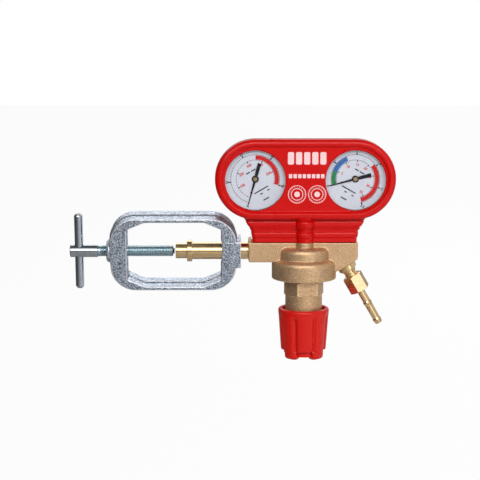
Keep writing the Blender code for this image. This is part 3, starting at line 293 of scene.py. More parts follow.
def surface(name, light, dark, metallic, roughness, grain=900.0, contrast=0.5, bump=0.2, depth=0.1,
            coarse=120.0, rough_spread=0.08, coat=0.0, edge=None, stretch=(1, 1, 1), alpha=1.0,
            specular=0.5, grain_share=0.75):
    """Principled material: two colours mixed by fine and coarse noise, with bump and a painted highlight on sharp
    edges.
    """
    material = bpy.data.materials.new(name)
    material.use_nodes = True
    tree = material.node_tree
    nodes, links = tree.nodes, tree.links
    shader = nodes["Principled BSDF"]
    where = nodes.new("ShaderNodeTexCoord")
    mapping = nodes.new("ShaderNodeMapping")
    mapping.inputs["Scale"].default_value = stretch
    links.new(where.outputs["Object"], mapping.inputs["Vector"])

    def noise(scale, detail):
        node = nodes.new("ShaderNodeTexNoise")
        node.inputs["Scale"].default_value = scale
        node.inputs["Detail"].default_value = detail
        node.inputs["Roughness"].default_value = 0.6
        links.new(mapping.outputs["Vector"], node.inputs["Vector"])
        return node.outputs["Fac"]

    fine = noise(grain, 3.0)
    broad = noise(coarse, 2.0)
    mix = nodes.new("ShaderNodeMath")
    mix.operation = "MULTIPLY_ADD"
    links.new(fine, mix.inputs[0])
    mix.inputs[1].default_value = grain_share
    scaled = nodes.new("ShaderNodeMath")
    scaled.operation = "MULTIPLY"
    links.new(broad, scaled.inputs[0])
    scaled.inputs[1].default_value = 1.0 - grain_share
    links.new(scaled.outputs[0], mix.inputs[2])
    ramp = nodes.new("ShaderNodeValToRGB")
    ramp.color_ramp.elements[0].position = 0.5 - 0.25 * (1.0 - contrast)
    ramp.color_ramp.elements[1].position = 0.5 + 0.25 * (1.0 - contrast)
    ramp.color_ramp.elements[0].color = linear(*dark)
    ramp.color_ramp.elements[1].color = linear(*light)
    links.new(mix.outputs[0], ramp.inputs["Fac"])
    colour = ramp.outputs["Color"]
    # Painted highlight: where pointiness is high the colour blends to the lighter edge colour, standing in for light
    # caught along rounded edges.
    if edge:
        geometry = nodes.new("ShaderNodeNewGeometry")
        edge_highlight = nodes.new("ShaderNodeMapRange")
        edge_highlight.inputs["From Min"].default_value = edge[1]
        edge_highlight.inputs["From Max"].default_value = edge[2]
        links.new(geometry.outputs["Pointiness"], edge_highlight.inputs["Value"])
        blend = nodes.new("ShaderNodeMix")
        blend.data_type = "RGBA"
        links.new(edge_highlight.outputs["Result"], blend.inputs["Factor"])
        links.new(colour, blend.inputs["A"])
        blend.inputs["B"].default_value = linear(*edge[0])
        colour = blend.outputs["Result"]
    links.new(colour, shader.inputs["Base Color"])
    rough = nodes.new("ShaderNodeMapRange")
    rough.inputs["To Min"].default_value = max(roughness - rough_spread, 0.02)
    rough.inputs["To Max"].default_value = min(roughness + rough_spread, 1.0)
    links.new(broad, rough.inputs["Value"])
    links.new(rough.outputs["Result"], shader.inputs["Roughness"])
    raised = nodes.new("ShaderNodeBump")
    raised.inputs["Strength"].default_value = bump
    raised.inputs["Distance"].default_value = depth * MM
    links.new(fine, raised.inputs["Height"])
    links.new(raised.outputs["Normal"], shader.inputs["Normal"])
    shader.inputs["Metallic"].default_value = metallic
    shader.inputs["Coat Weight"].default_value = coat
    shader.inputs["Coat Roughness"].default_value = 0.06
    shader.inputs["Specular IOR Level"].default_value = specular
    shader.inputs["Alpha"].default_value = alpha
    return material


def make_materials():
    return {
        # The edge colours below are painted highlights, lightening sharp edges where light would catch them.
        "cast_brass": surface("sandblasted_brass", (226, 188, 147), (166, 132, 97), 0.75, 0.44,
                              grain=1000, contrast=0.45, bump=0.5, depth=0.25, grain_share=0.9, edge=((232, 200, 152), 0.505, 0.56)),
        "turned_brass": surface("turned_brass", (232, 202, 156), (214, 180, 130), 1.0, 0.2,
                                grain=160, contrast=0.2, bump=0.05, depth=0.05, stretch=(6, 1, 1)),
        "nut_brass": surface("milled_brass", (232, 200, 160), (220, 182, 138), 1.0, 0.28,
                             grain=260, contrast=0.2, bump=0.08, depth=0.05, stretch=(1, 1, 3)),
        "cast_zinc": surface("granular_zinc", (226, 235, 248), (70, 83, 102), 0.8, 0.32,
                             grain=900, contrast=0.62, bump=0.9, depth=0.5, grain_share=0.92, edge=((246, 247, 252), 0.505, 0.545)),
        "screw_zinc": surface("blue_zinc", (182, 204, 210), (158, 180, 188), 1.0, 0.3,
                              grain=500, contrast=0.3, bump=0.1, depth=0.05),
        "bar_zinc": surface("bright_zinc", (196, 202, 208), (168, 176, 184), 1.0, 0.14,
                            grain=300, contrast=0.2, bump=0.04, depth=0.05),
        "bright_steel": surface("machined_steel", (196, 198, 202), (165, 168, 174), 1.0, 0.28,
                                grain=350, contrast=0.2, bump=0.06, depth=0.05),
        "dark_steel": surface("phosphated_steel", (58, 56, 54), (40, 38, 38), 0.9, 0.4, grain=900),
        "red_plastic": surface("moulded_red", (204, 14, 6), (194, 11, 4), 0.0, 0.3,
                               grain=500, contrast=0.1, bump=0.03, depth=0.05, coat=0.08, coarse=60, specular=0.2),
        "knob_plastic": surface("moulded_knob_red", (212, 30, 18), (198, 24, 13), 0.0, 0.32,
                                grain=420, contrast=0.1, bump=0.05, depth=0.06, coat=0.1, coarse=60, specular=0.25),
        "black_rubber": surface("black_rubber", (36, 36, 38), (24, 24, 26), 0.0, 0.7, grain=600),
        "sintered_bronze": surface("sintered_bronze", (170, 128, 86), (96, 66, 40), 0.9, 0.75,
                                   grain=2200, contrast=0.6, bump=0.8, depth=0.2),
        "copper_alloy": surface("copper_alloy", (198, 128, 92), (168, 100, 68), 1.0, 0.34, grain=300, contrast=0.2),
        "dial_white": surface("dial_white", (222, 226, 236), (212, 217, 229), 0.0, 0.45,
                              grain=300, contrast=0.1, bump=0.02, depth=0.02),
        "pointer_black": surface("pointer_black", (18, 18, 20), (8, 8, 10), 0.0, 0.5,
                                 grain=500, contrast=0.2, bump=0.05, depth=0.03, specular=0.2),
        "clear_lens": surface("clear_lens", (96, 100, 106), (84, 88, 94), 0.0, 0.06,
                              grain=40, contrast=0.1, bump=0.01, depth=0.01, rough_spread=0.02, alpha=0.05),
        "print_black": surface("black_print", (24, 26, 32), (12, 14, 18), 0.0, 0.5, grain=900, contrast=0.2, specular=0.2),
        "print_red": surface("red_print", (218, 30, 30), (200, 22, 22), 0.0, 0.5, grain=900, contrast=0.2, specular=0.2),
        "print_green": surface("green_print", (24, 138, 74), (16, 120, 62), 0.0, 0.5, grain=900, contrast=0.2),
        "print_blue": surface("blue_print", (46, 110, 186), (36, 96, 170), 0.0, 0.5, grain=900, contrast=0.2),
        "print_pink": surface("pale_print", (246, 214, 216), (234, 190, 194), 0.0, 0.5, grain=900, contrast=0.2),
    }


# ---------------------------------------------------------------- body and bonnet

def build_body(looks):
    face_x, face_z = (OUTLET.x - CROSSING.x) / MM, OUTLET.z / MM
    block = soften([
        (BLOCK_LEFT, BLOCK_TOP, 0.8),
        (BLOCK_LEFT, -9.5, 1.5),
        (22.6, -9.5, 0),
        (26.6, face_z - 4.9, 0),
        (30.0, face_z - 4.9, 0.5),
        (face_x - 7.4, face_z - 4.3, 0.6),
        (face_x + 7.2, face_z + 4.2, 0.8),
        (49.5, face_z + 7.6, 1.2),
        (49.5, BLOCK_TOP, 0.8),
    ], closed=True)
    inset = [(x * 0.985 - 0.01, z * 0.94) for x, z in block]
    rings = [[(x, z, depth) for x, z in outline] for outline, depth in (
        (inset, -11.0), (block, -10.3), (block, 10.3), (inset, 11.0))]
    flange = [
        (14.0, 4.2, 0), (19.6, 4.2, 0), (24.6, 4.2, 5.4), (24.6, -7.6, 0.7),
        (30.0, -7.6, 5.4), (30.0, FLANGE_BOTTOM, 1.2), (26.0, FLANGE_BOTTOM, 0),
    ]
    joins = [
        turned(flange, pose(), 192),
        turned([(7.5, SKIRT_BOTTOM - 0.3, 0), (7.5, 4.6, 0), (9.0, 3.4, 0), (9.0, -2, 0)], pose((0, -11.0, 0)), 72),
        prism(box_outline(BLOCK_LEFT + 0.2, BLOCK_LEFT + 3.0, BLOCK_TOP - 1, 11.5, 0.5), -10.8, 0, pose(turn=FACING)),
    ]
    for tilt, side in ((-150, 1), (150, -1)):
        boss = [(9.5, 42.1, 0.8), (9.5, 74.0, 0)]
        joins.append(turned([(7.0, 42.1, 0)] + boss, pose((side * GAUGE_X, 0, GAUGE_Z), (0, tilt, 0)), 72))
    chamber = [
        (6.5, 3.0, 0), (6.5, -8.0, 0), (19.0, -8.0, 0), (19.0, -14.0, 0), (25.3, -14.0, 0), (25.3, -27.0, 0),
    ]
    cuts = [
        turned(chamber, pose(), 128),
        turned([(7.3, BLOCK_LEFT - 1, 0), (7.3, -38.0, 0), (2.8, -38.0, 0), (2.8, -3.0, 0)], pose(turn=ALONG_X), 64),
        turned([(6.5, 1, 0), (6.5, -10, 0), (3, -10, 0), (3, -20, 0)], pose(turn=OUTLET_TURN, origin=OUTLET), 64),
    ]
    for tilt, side in ((-150, 1), (150, -1)):
        port = [(6.7, 41.0, 0), (6.7, 56.0, 0), (1.8, 56.0, 0), (1.8, 70.0, 0)]
        cuts.append(turned(port, pose((side * GAUGE_X, 0, GAUGE_Z), (0, tilt, 0)), 48))
    base = loft(rings, pose(turn=FACING))
    data = shaped(base, joins, cuts, voxel=0.5, smooth=3)
    piece("forged_body", data, looks["cast_brass"], "regulator", ["body"], 60)


def build_bonnet(looks):
    flat_turn = -81.0
    phase = flat_turn + 30
    hexagonal = hex_radius(32.6, flat_turn)

    def neck(top, bottom):
        def limited(height):
            chamfer = min(abs(height - top), abs(height - bottom))
            return lambda degrees: min(hexagonal(degrees), 17.4 + 1.6 * chamfer)
        return limited

    rings = []
    for r, z in soften([(5.3, -74, 0), (5.3, -68, 0.5), (13.5, -68, 1), (13.5, -22, 0.5), (20, -22, 0.5),
                        (20, -16.4, 0.3), (24.8, -16.4, 0.4), (24.8, -25.7, 0.4), (17.5, -25.7, 0.6)]):
        rings.append(ring(r, z, 192, phase))
    rings.append(ring(17.5, -28.2, 192, phase))
    shape = neck(-28.2, -41.6)
    for z in (-28.4, -28.8, -29.2, -34.0, -40.3, -40.6):
        rings.append(ring(shape(z), z, 192, phase))
    for r, z in soften([(17.3, -41.0, 0), (17.2, -42.0, 0.8), (17.2, -74, 1.0), (12, -74, 0)]):
        rings.append(ring(r, z, 192, phase))
    piece("bonnet_turned", loft(rings, pose(), closed=True), looks["cast_brass"], "regulator", ["bonnet"], 28)


def coil(radius, wire, low, high, turns, place):
    """Round wire wound about Z, its ends cut square."""
    steps = turns * 48
    rings = []
    for i in range(steps + 1):
        angle = 2 * math.pi * turns * i / steps
        out = Vector((math.cos(angle), math.sin(angle), 0))
        centre = out * radius + Vector((0, 0, low + (high - low) * i / steps))
        rise = (high - low) / (2 * math.pi * turns * radius)
        up = Vector((rise * math.sin(angle), -rise * math.cos(angle), 1)).normalized()
        section = [math.radians(30 * k) for k in range(12)]
        rings.append([tuple(centre + out * wire * math.cos(t) + up * wire * math.sin(t)) for t in section])
    return loft(rings, place)


def build_springs(looks):
    """Springs and diaphragm, wound and turned between the heights of their CAD nodes."""
    for node, joint, radius, wire, turns, look in (
        ("main_spring", "seat_travel", MAIN_COIL, MAIN_WIRE, MAIN_TURNS, "bright_steel"),
        ("poppet_spring", "poppet_lift", POPPET_COIL, POPPET_WIRE, POPPET_TURNS, "bright_steel"),
    ):
        low, high = (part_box(node)[side].z / MM for side in (0, 1))
        wound = coil(radius, wire, low + wire, high - wire, turns, pose())
        spring = piece(f"{node}_coil", wound, looks[look], "regulator", [node])
        shorten(spring)
    low, high = (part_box("diaphragm")[side].z / MM for side in (0, 1))
    disc = [(0.3, high, 0), (24.0, high, 0.2), (24.0, low, 0.2), (0.3, low, 0)]
    rubber = piece("diaphragm_sheet", turned(disc, pose()), looks["black_rubber"], "regulator",
                   ["diaphragm"])
    shorten(rubber)


def shorten(obj):
    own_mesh(obj)


# ---------------------------------------------------------------- knob

def build_knob(looks):
    rim_bottom, panel_bottom, bottom = -57.4, -93.4, -100.8

    def outer(height):
        base = 23.65 + (20.95 - 23.65) * (height + 58.0) / (-97.0 + 58.0)
        fade = smoothstep(height, rim_bottom - 0.2, rim_bottom - 7.0)
        foot = max(0.0, (bottom + 3.2) - height)
        rounding = 3.2 - math.sqrt(max(3.2 ** 2 - foot ** 2, 0.0))
        below = smoothstep(height, panel_bottom + 0.9, panel_bottom - 0.9)

        def radius(degrees):
            off = abs((degrees + 45) % 90 - 45)
            groove = 2.4 * math.exp(-((off - 24.5) / 4.7) ** 2)
            panel = 0.15 * (1 - smoothstep(off, 19, 27))
            recess = (base - 17.3) * below * (1 - smoothstep(off, 21.5, 24.5))
            lobe = 0.3 * math.exp(-((off - 45) / 9.0) ** 2)
            return base - fade * (groove + panel - lobe) * (1 - below * 0.4) - max(recess, rounding)
        return radius

    count = 360
    inner = soften([(0.6, -93.5, 0), (5.2, -93.5, 0), (5.2, -85, 0.6), (20, -85, 1.5), (20, -54.6, 0)])
    rings = [ring(r, z, count) for r, z in inner]
    rim = soften([(20.0, -54.6, 0), (20.2, -53.7, 1.2), (22.9, -53.7, 2.0), (23.8, -55.8, 1.5), (23.75, -57.2, 0.2),
                  (23.6, -57.4, 0)])[1:]
    rings += [ring(r, z, count) for r, z in rim]
    heights = [rim_bottom - 0.5 - 0.5 * i for i in range(12)]
    heights += [-65.0 - 2.0 * i for i in range(14)]
    heights += [-92.0, -92.4, -92.7, -93.0, -93.3, -93.6, -93.9, -94.2, -94.6, -95.5, -96.5, -97.4]
    heights += [bottom + 3.2 * (1 - math.sin(math.radians(15 * i))) for i in range(1, 7)]
    def raised(height):
        """The moulding ends higher between its lobes."""
        rise = 2.6 * smoothstep(height, -96.0, bottom)

        def level(degrees):
            off = abs((degrees + 45) % 90 - 45)
            return height + rise * (1 - smoothstep(off, 21.0, 26.0))
        return level

    rings += [ring(outer(z), raised(z), count) for z in heights]
    rings += [ring(r, raised(z), count) for r, z in soften([(15.5, bottom + 0.02, 0), (11.0, bottom, 0.4), (10.4, bottom + 1.2, 0.4),
                                                   (0.6, bottom + 1.2, 0)])]
    piece("knob_moulding", loft(rings, pose()), looks["knob_plastic"], "knob", ["knob"], 40)


# ---------------------------------------------------------------- inlet, yoke and clamp

def build_inlet(looks):
    stem = [
        (2.8, -119.5, 0.4), (7.1, -119.5, 0.6), (7.1, -109.0, 0.4), (10.0, -109.0, 0.5), (10.0, -104.2, 0.5),
        (7.9, -104.2, 0.4), (7.9, -52.3, 0.4), (7.0, -52.3, 0), (7.0, -38.5, 0.5), (5.0, -38.5, 0.3),
        (5.0, -50.3, 0), (2.8, -50.3, 0),
    ]
    piece("inlet_stem_turned", turned(stem, pose(turn=ALONG_X), 128, True), looks["turned_brass"],
          "regulator", ["inlet_stem"], 30)


def yoke_outline(inset):
    left, right, half, radius = -180.0 + inset, -63.2 - inset, 36.0 - inset, 24.0 - inset
    corners = ((right, half, 0), (left, half, 90), (left, -half, 180), (right, -half, 270))
    outline = []
    for x, y, start in corners:
        centre = (x - radius if x == right else x + radius, y - radius if y > 0 else y + radius)
        outline += arc(centre, radius, start, start + 90, 20)
    return outline


def yoke_window(spread):
    left, right = -164.6 - spread, -76.7 + spread
    high, leg, run = 32.3 + spread, 24.9 + spread * 0.7, 16.7
    upper = [(right, leg, 2.5), (right - run, high, 6), (left + run, high, 6), (left, leg, 2.5)]
    lower = [(x, -y, r) for x, y, r in reversed(upper)]
    return soften(upper + lower, 6, True)


def build_yoke(looks):
    sections = ((-10.85, 0.3), (-10.6, 0.1), (-1.3, 0.0), (-0.6, -0.9), (0.6, -0.9), (1.3, 0.0),
                (10.6, 0.1), (10.85, 0.3))
    base = loft([[(x, y, depth) for x, y in yoke_outline(inset)] for depth, inset in sections], tilted(FACING))
    window = loft([[(x, y, depth) for x, y in yoke_window(spread)] for depth, spread in (
        (-12, 0.1), (-1.3, 0), (-0.6, -0.8), (0.6, -0.8), (1.3, 0), (12, 0.1))], tilted(FACING))
    across = tilted(ALONG_X)
    screw_boss = turned([(6.0, -183.7, 0), (8.9, -183.7, 0), (10.7, -182.0, 0.4), (10.7, -166.0, 0)], across, 96)
    lug = box_outline(-8.6, 11.3, -13.3, 13.3, 1.4)
    bush_boss = loft([[(x, -depth, z) for depth, z in lug] for x in (-75.6, -59.0)], tilted((0, 0, 0)))
    shape = shaped(base, [], [window])
    whole = bmesh.new()
    whole.from_mesh(shape)
    cuts = [
        turned([(5.7, -185, 0), (5.7, -163, 0)], across, 64),
        turned([(9.3, -78, 0), (9.3, -58, 0)], across, 64),
    ]
    data = shaped(whole, [screw_boss, bush_boss], cuts, voxel=0.55, smooth=2)
    piece("cast_yoke", data, looks["cast_zinc"], "yoke", ["yoke"], 60)


def build_clamp(looks):
    pitch, depth, radius = 1.5, 0.55, 5.15
    thread_from, thread_to = -190.5, -122.6

    def thread(x):
        fade = smoothstep(x, thread_from, thread_from + 2) * (1 - smoothstep(x, thread_to - 1.2, thread_to))

        def reach(degrees):
            phase = (x / pitch + degrees / 360) % 1.0
            return radius - depth * fade * max(0.0, 1 - abs(2 * phase - 1) * 1.25)
        return reach

    rings = [ring(r, x, 64) for r, x in ((0.4, -129.5), (2.3, -129.5), (2.3, -121.7), (4.1, -121.7), (4.9, -122.5))]
    step = 0.25
    rings += [ring(thread(thread_to - i * step), thread_to - i * step, 64)
              for i in range(int((thread_to - thread_from) / step) + 1)]
    hub = soften([(radius, -190.8, 0), (radius, -191.8, 0.2), (5.85, -192.2, 0.3), (5.85, -217.6, 1.0), (0.5, -217.6, 0)])
    rings += [ring(r, x, 64) for r, x in hub]
    bar_place = (-209.3, 0, 0)
    hole = turned([(4.2, -8, 0), (4.2, 8, 0)], pose(bar_place, (8, 0, 0)), 64)
    data = shaped(loft(rings, pose(turn=ALONG_X)), [], [hole])
    screw = piece("clamp_screw_threaded", data, looks["screw_zinc"], "clamp_screw", ["clamp_screw"], 25)
    screw.data.materials.append(looks["bar_zinc"])
    hub_start = CROSSING.x - 191.5 * MM
    for face in screw.data.polygons:
        face.material_index = int(face.center.x < hub_start)
    half, r = 36.0, 3.9
    bar = [(0.2, -half, 0), (2.4, -half, 1.2), (r, -half + 2.2, 2.0), (r, half - 2.2, 2.0), (2.4, half, 1.2), (0.2, half, 0)]
    piece("tommy_bar_drawn", turned(bar, pose(bar_place, (8, 0, 0)), 64), looks["bar_zinc"],
          "clamp_screw", ["tommy_bar"])
    pad = [(0.3, -129.0, 0), (2.0, -129.0, 0.3), (2.0, -121.4, 0), (2.6, -121.4, 0.1), (2.6, -120.6, 0.3), (0.3, -120.6, 0)]
    piece("screw_pad_turned", turned(pad, pose(turn=ALONG_X), 64), looks["dark_steel"],
          "screw_pad", ["screw_pad"])


# ---------------------------------------------------------------- outlet

def build_outlet(looks):
    place = pose(turn=OUTLET_TURN, origin=OUTLET)
    adapter = [
        (3.0, -8.7, 0), (6.2, -8.7, 0.5), (6.2, 0.3, 0), (8.65, 0.3, 0.4), (8.65, 4.5, 0.5), (7.2, 4.5, 0.2),
        (7.2, 5.6, 0.2), (6.0, 6.2, 0.2), (6.0, 7.6, 0.2), (5.5, 8.0, 0.1), (5.5, 8.8, 0.1), (6.0, 9.2, 0.2),
        (6.0, 19.0, 0.4), (3.0, 19.0, 0),
    ]
    piece("outlet_adapter_turned", turned(adapter, place, 96, True), looks["turned_brass"],
          "regulator", ["outlet_adapter"], 28)
    start, wall, end = 11.4, 23.3, 27.6
    flats = hex_radius(17.0, 15.0)

    def chamfered(height):
        near = min(height - start, end - height)
        return lambda degrees: min(flats(degrees), 8.35 + 1.9 * near)

    rings = [ring(r, z, 120, 45) for r, z in ((6.3, wall), (6.3, start + 0.4), (6.7, start), (8.0, start))]
    heights = [start + offset for offset in (0, 0.15, 0.3, 0.45, 0.6, 0.75, 0.9)]
    heights += [end - offset for offset in (0.9, 0.75, 0.6, 0.45, 0.3, 0.15, 0)]
    rings += [ring(chamfered(z), z, 120, 45) for z in heights]
    rings += [ring(r, z, 120, 45) for r, z in ((6.2, end), (4.0, end), (3.7, end - 0.3), (3.7, wall))]
    piece("outlet_nut_milled", loft(rings, place, True), looks["nut_brass"], "outlet_nut", ["outlet_nut"], 25)
    tail = [
        (1.8, 19.3, 0), (4.9, 19.3, 0.3), (5.9, 20.8, 0.3), (5.9, 23.0, 0.2), (3.55, 23.2, 0.2), (3.6, 39.6, 0.3),
        (4.2, 41.0, 0.4), (3.65, 44.0, 0.5), (3.5, 57.8, 0.4), (4.1, 59.4, 0.4), (3.2, 63.6, 0.5), (1.8, 63.6, 0.2),
    ]
    piece("hose_tail_turned", turned(tail, place, 72, True), looks["turned_brass"], "hose_tail", ["hose_tail"], 28)


# ---------------------------------------------------------------- housing

SKIRT = (
    (40.0, 58.0, 0.0), (34.0, 58.0, 0.0), (31.2, 56.6, 1.7), (29.4, 55.2, 1.6), (28.8, 54.7, 0.3), (28.0, 54.3, 0.0),
    (26.4, 53.4, -0.1), (24.8, 52.5, 0.1), (24.1, 52.0, 0.5), (23.7, 51.8, 1.6), (22.7, 51.4, 1.5), (22.3, 51.2, 0.5),
    (21.5, 50.8, 0.5), (21.1, 50.6, 1.6), (19.0, 49.9, 1.7), (18.5, 49.8, 0.7), (17.6, 49.5, 0.35), (16.0, 49.3, 0.25),
    (14.5, 49.2, 0.5), (13.9, 49.1, 1.5), (12.6, 49.0, 1.7), (SKIRT_BOTTOM, 48.9, 1.7),
)
SKIRT_WALL = 2.2


def skirt_rings(near, far, wall=0.0, sign=-1.0):
    """Rings of the ribbed skirt between two depths; sign is the side that carries the ribs."""
    rings = []
    for index, (height, half, inset) in enumerate(SKIRT):
        reach = half - 0.4 * inset - wall
        face = near - (inset + wall) * (1 if sign < 0 else 1)
        corners = [(-reach, sign * face, 3.5), (reach, sign * face, 3.5), (reach, far, 0), (-reach, far, 0)]
        if wall:
            height = height - 2.0 if index == len(SKIRT) - 1 else height
        outline = soften(corners, 5, True)
        rings.append([(x, y, height) for x, y in outline])
    if wall:
        rings[0] = [(x, y, 46.5) for x, y, _ in rings[0]]
    return rings


def stadium_loft(profile):
    return loft([[(x, y, depth) for x, y in stadium(r)] for r, depth in profile], pose(turn=FACING))


def build_front_housing(looks):
    outer = soften([
        (35.4, SHELL_SPLIT, 0), (37.0, 6.0, 8), (37.0, 20.0, 5.6), (31.4, 20.0, 1.8), (29.3, 17.7, 1.2), (27.5, 17.7, 0),
    ], 8)
    base = stadium_loft(outer)
    skirt = loft(skirt_rings(13.5, -SHELL_SPLIT), pose())
    bulge = [(6.0, SKIRT_BOTTOM, 0)] + [(BULGE_RADIUS - inset, z, 0) for z, _, inset in reversed(SKIRT) if z < 31]
    bulge += [(BULGE_RADIUS, 32.0, 0), (5.0, 36.0, 0)]
    joins = [skirt, turned(bulge, pose((0, BULGE_Y, 0)), 64)]
    inner = [stadium_loft(((32.9, SHELL_SPLIT - 1), (32.9, 15.5))), loft(skirt_rings(13.5, 7.0, SKIRT_WALL), pose())]
    cuts = list(inner)
    for side in (-1, 1):
        opening = [(27.7, 14.0, 0), (27.7, 16.8, 0), (28.6, 17.75, 0), (28.8, 21.0, 0)]
        cuts.append(turned(opening, pose((side * GAUGE_X, 0, GAUGE_Z - 1.0), FACING), 160))
    data = shaped(base, joins, cuts)
    piece("front_housing_moulding", data, looks["red_plastic"], "regulator", ["front_housing"], 32)


def build_back_housing(looks):
    split = SHELL_SPLIT - 0.3
    outer = soften([(35.4, split, 0), (34.4, -12.0, 3), (34.4, -16.0, 3.5), (28.0, -16.0, 0)], 6)
    base = stadium_loft(outer)
    joins = [loft(skirt_rings(14.0, -split, 0.0, 1.0), pose())]
    cuts = [stadium_loft(((31.9, split + 1), (31.9, -13.5))), loft(skirt_rings(14.0, -split - 1, SKIRT_WALL, 1.0), pose())]
    sleeves, holes = [], []
    for x, z in SCREW_PLACES:
        high = z > 40
        floor = -13.0 if high else -11.0
        place = pose((x, 0, z), FACING)
        sleeves.append(turned([(2.5, split, 0), (4.6, split, 0.4), (4.6, -15.0 if high else -13.8, 0)], place, 40))
        holes.append(turned([(1.7, split + 1, 0), (1.7, floor, 0), (3.6, floor, 0), (3.6, -15.4 if high else -13.4, 0),
                             (4.2, -17.0, 0)], place, 40))
    hollow = bmesh.new()
    hollow.from_mesh(shaped(base, joins, cuts))
    data = shaped(hollow, sleeves, holes)
    piece("back_housing_moulding", data, looks["red_plastic"], "regulator", ["back_housing"], 32)


def build_panel_prints(looks):
    """Plain marks in place of the panel's printing: bars, dashes and two ringed dots."""
    front = PANEL_FRONT
    place = pose(turn=FACING)
    shapes = []

    def mark(outline):
        shapes.append(prism(outline, front - 0.05, front + PRINT_HEIGHT, place))

    def ring_mark(x, z, outer, inner):
        centre = pose((x, 0, z), FACING)
        low, high = front - 0.05, front + PRINT_HEIGHT
        shapes.append(turned([(inner, low, 0), (outer, low, 0), (outer, high, 0), (inner, high, 0)], centre, 72, True))

    for i in range(5):
        left = -16.4 + 7.4 * i
        mark(box_outline(left, left + 5.6, 82.2, 93.6, 1.4))
    for i in range(8):
        left = -15.4 + 4.2 * i
        mark(box_outline(left, left + 3.1, 69.6, 73.4, 0.6))
    for x in (-7.8, 10.6):
        ring_mark(x, 54.8, 8.3, 7.7)
        ring_mark(x, 54.8, 5.6, 5.0)
        shapes.append(turned([(0.2, front - 0.05, 0), (2.6, front - 0.05, 0), (2.6, front + PRINT_HEIGHT, 0),
                              (0.2, front + PRINT_HEIGHT, 0)], pose((x, 0, 54.8), FACING), 48))
        for k in range(20):
            turn = math.radians(18 * k)
            cx, cz = x + 6.75 * math.cos(turn), 54.8 + 6.75 * math.sin(turn)
            mark([(cx + 0.34 * math.cos(t + turn), cz + 0.34 * math.sin(t + turn)) for t in (0.8, 2.36, 3.9, 5.5)])
    piece("panel_marks", merged(shapes), looks["print_pink"], "regulator")


# ---------------------------------------------------------------- gauges

SWEEP = 270.0
ZERO = 225.0


def clock(radius, degrees):
    """Point at an angle counted clockwise from the top of a dial."""
    angle = math.radians(90 - degrees)
    return (radius * math.cos(angle), radius * math.sin(angle))


def band(place, inner, outer, start, end):
    steps = max(int(abs(end - start) / 2), 2)
    turns = [start + (end - start) * i / steps for i in range(steps + 1)]
    outline = [clock(outer, t) for t in turns] + [clock(inner, t) for t in reversed(turns)]
    return prism(outline, DIAL_FRONT - 0.02, DIAL_FRONT + PRINT_HEIGHT, place)


def tick(place, inner, outer, degrees, width, height=PRINT_HEIGHT):
    along = Vector(clock(1, degrees))
    side = Vector((-along.y, along.x)) * width / 2
    outline = [along * inner - side, along * outer - side, along * outer + side, along * inner + side]
    return prism([(p.x, p.y) for p in outline], DIAL_FRONT - 0.02, DIAL_FRONT + height, place)


def number(place, text, radius, degrees, size):
    """A numeral on the dial, as a thin closed solid."""
    curve = bpy.data.curves.new("numeral", "FONT")
    curve.body = text
    curve.size = size * MM
    curve.align_x = "CENTER"
    curve.align_y = "CENTER"
    curve.extrude = PRINT_HEIGHT / 2 * MM
    curve.offset = 0.035 * size * MM
    curve.resolution_u = 3
    obj = bpy.data.objects.new("numeral", curve)
    bpy.context.scene.collection.objects.link(obj)
    bpy.context.view_layer.update()
    data = bpy.data.meshes.new_from_object(obj.evaluated_get(bpy.context.evaluated_depsgraph_get()))
    bpy.data.objects.remove(obj)
    x, y = clock(radius, degrees)
    data.transform(place @ Matrix.Translation(Vector((x, y, DIAL_FRONT + PRINT_HEIGHT / 2)) * MM))
    mesh = bmesh.new()
    mesh.from_mesh(data)
    bmesh.ops.remove_doubles(mesh, verts=mesh.verts, dist=1e-7)
    bpy.data.meshes.remove(data)
    return mesh


def scale_marks(place, outer_values, inner_values, outer_minor, inner_step):
    """Black outer scale and inner line; red inner numerals."""
    black = [band(place, 22.2, 22.5, ZERO, ZERO + SWEEP), band(place, 17.45, 17.7, ZERO, ZERO + SWEEP)]
    red = []
    count = len(outer_values) - 1
    for i, text in enumerate(outer_values):
        at = ZERO + SWEEP * i / count
        black.append(tick(place, 22.2, 24.4, at, 1.15, PRINT_HEIGHT + 0.03))
        black.append(number(place, text, 26.1, at, 3.1))
    total = count * outer_minor
    for i in range(total + 1):
        long = 23.8 if i % 5 == 0 else 23.2
        black.append(tick(place, 22.2, long, ZERO + SWEEP * i / total, 0.28, PRINT_HEIGHT + 0.02))
    steps = int(SWEEP / inner_step * 5)
    for i in range(steps + 1):
        black.append(tick(place, 16.7, 17.6, ZERO + inner_step * i / 5, 0.25, PRINT_HEIGHT + 0.02))
    for i, text in enumerate(inner_values):
        at = ZERO + inner_step * i
        black.append(tick(place, 15.9, 17.6, at, 0.9, PRINT_HEIGHT + 0.03))
        red.append(number(place, text, 13.3, at, 3.3))
    return black, red


def plain_dashes(place, rows):
    """Short bars where the dial carries its small print."""
    return [prism(box_outline(x, x + width, y, y + 1.1), DIAL_FRONT - 0.02, DIAL_FRONT + PRINT_HEIGHT, place)
            for x, y, width in rows]


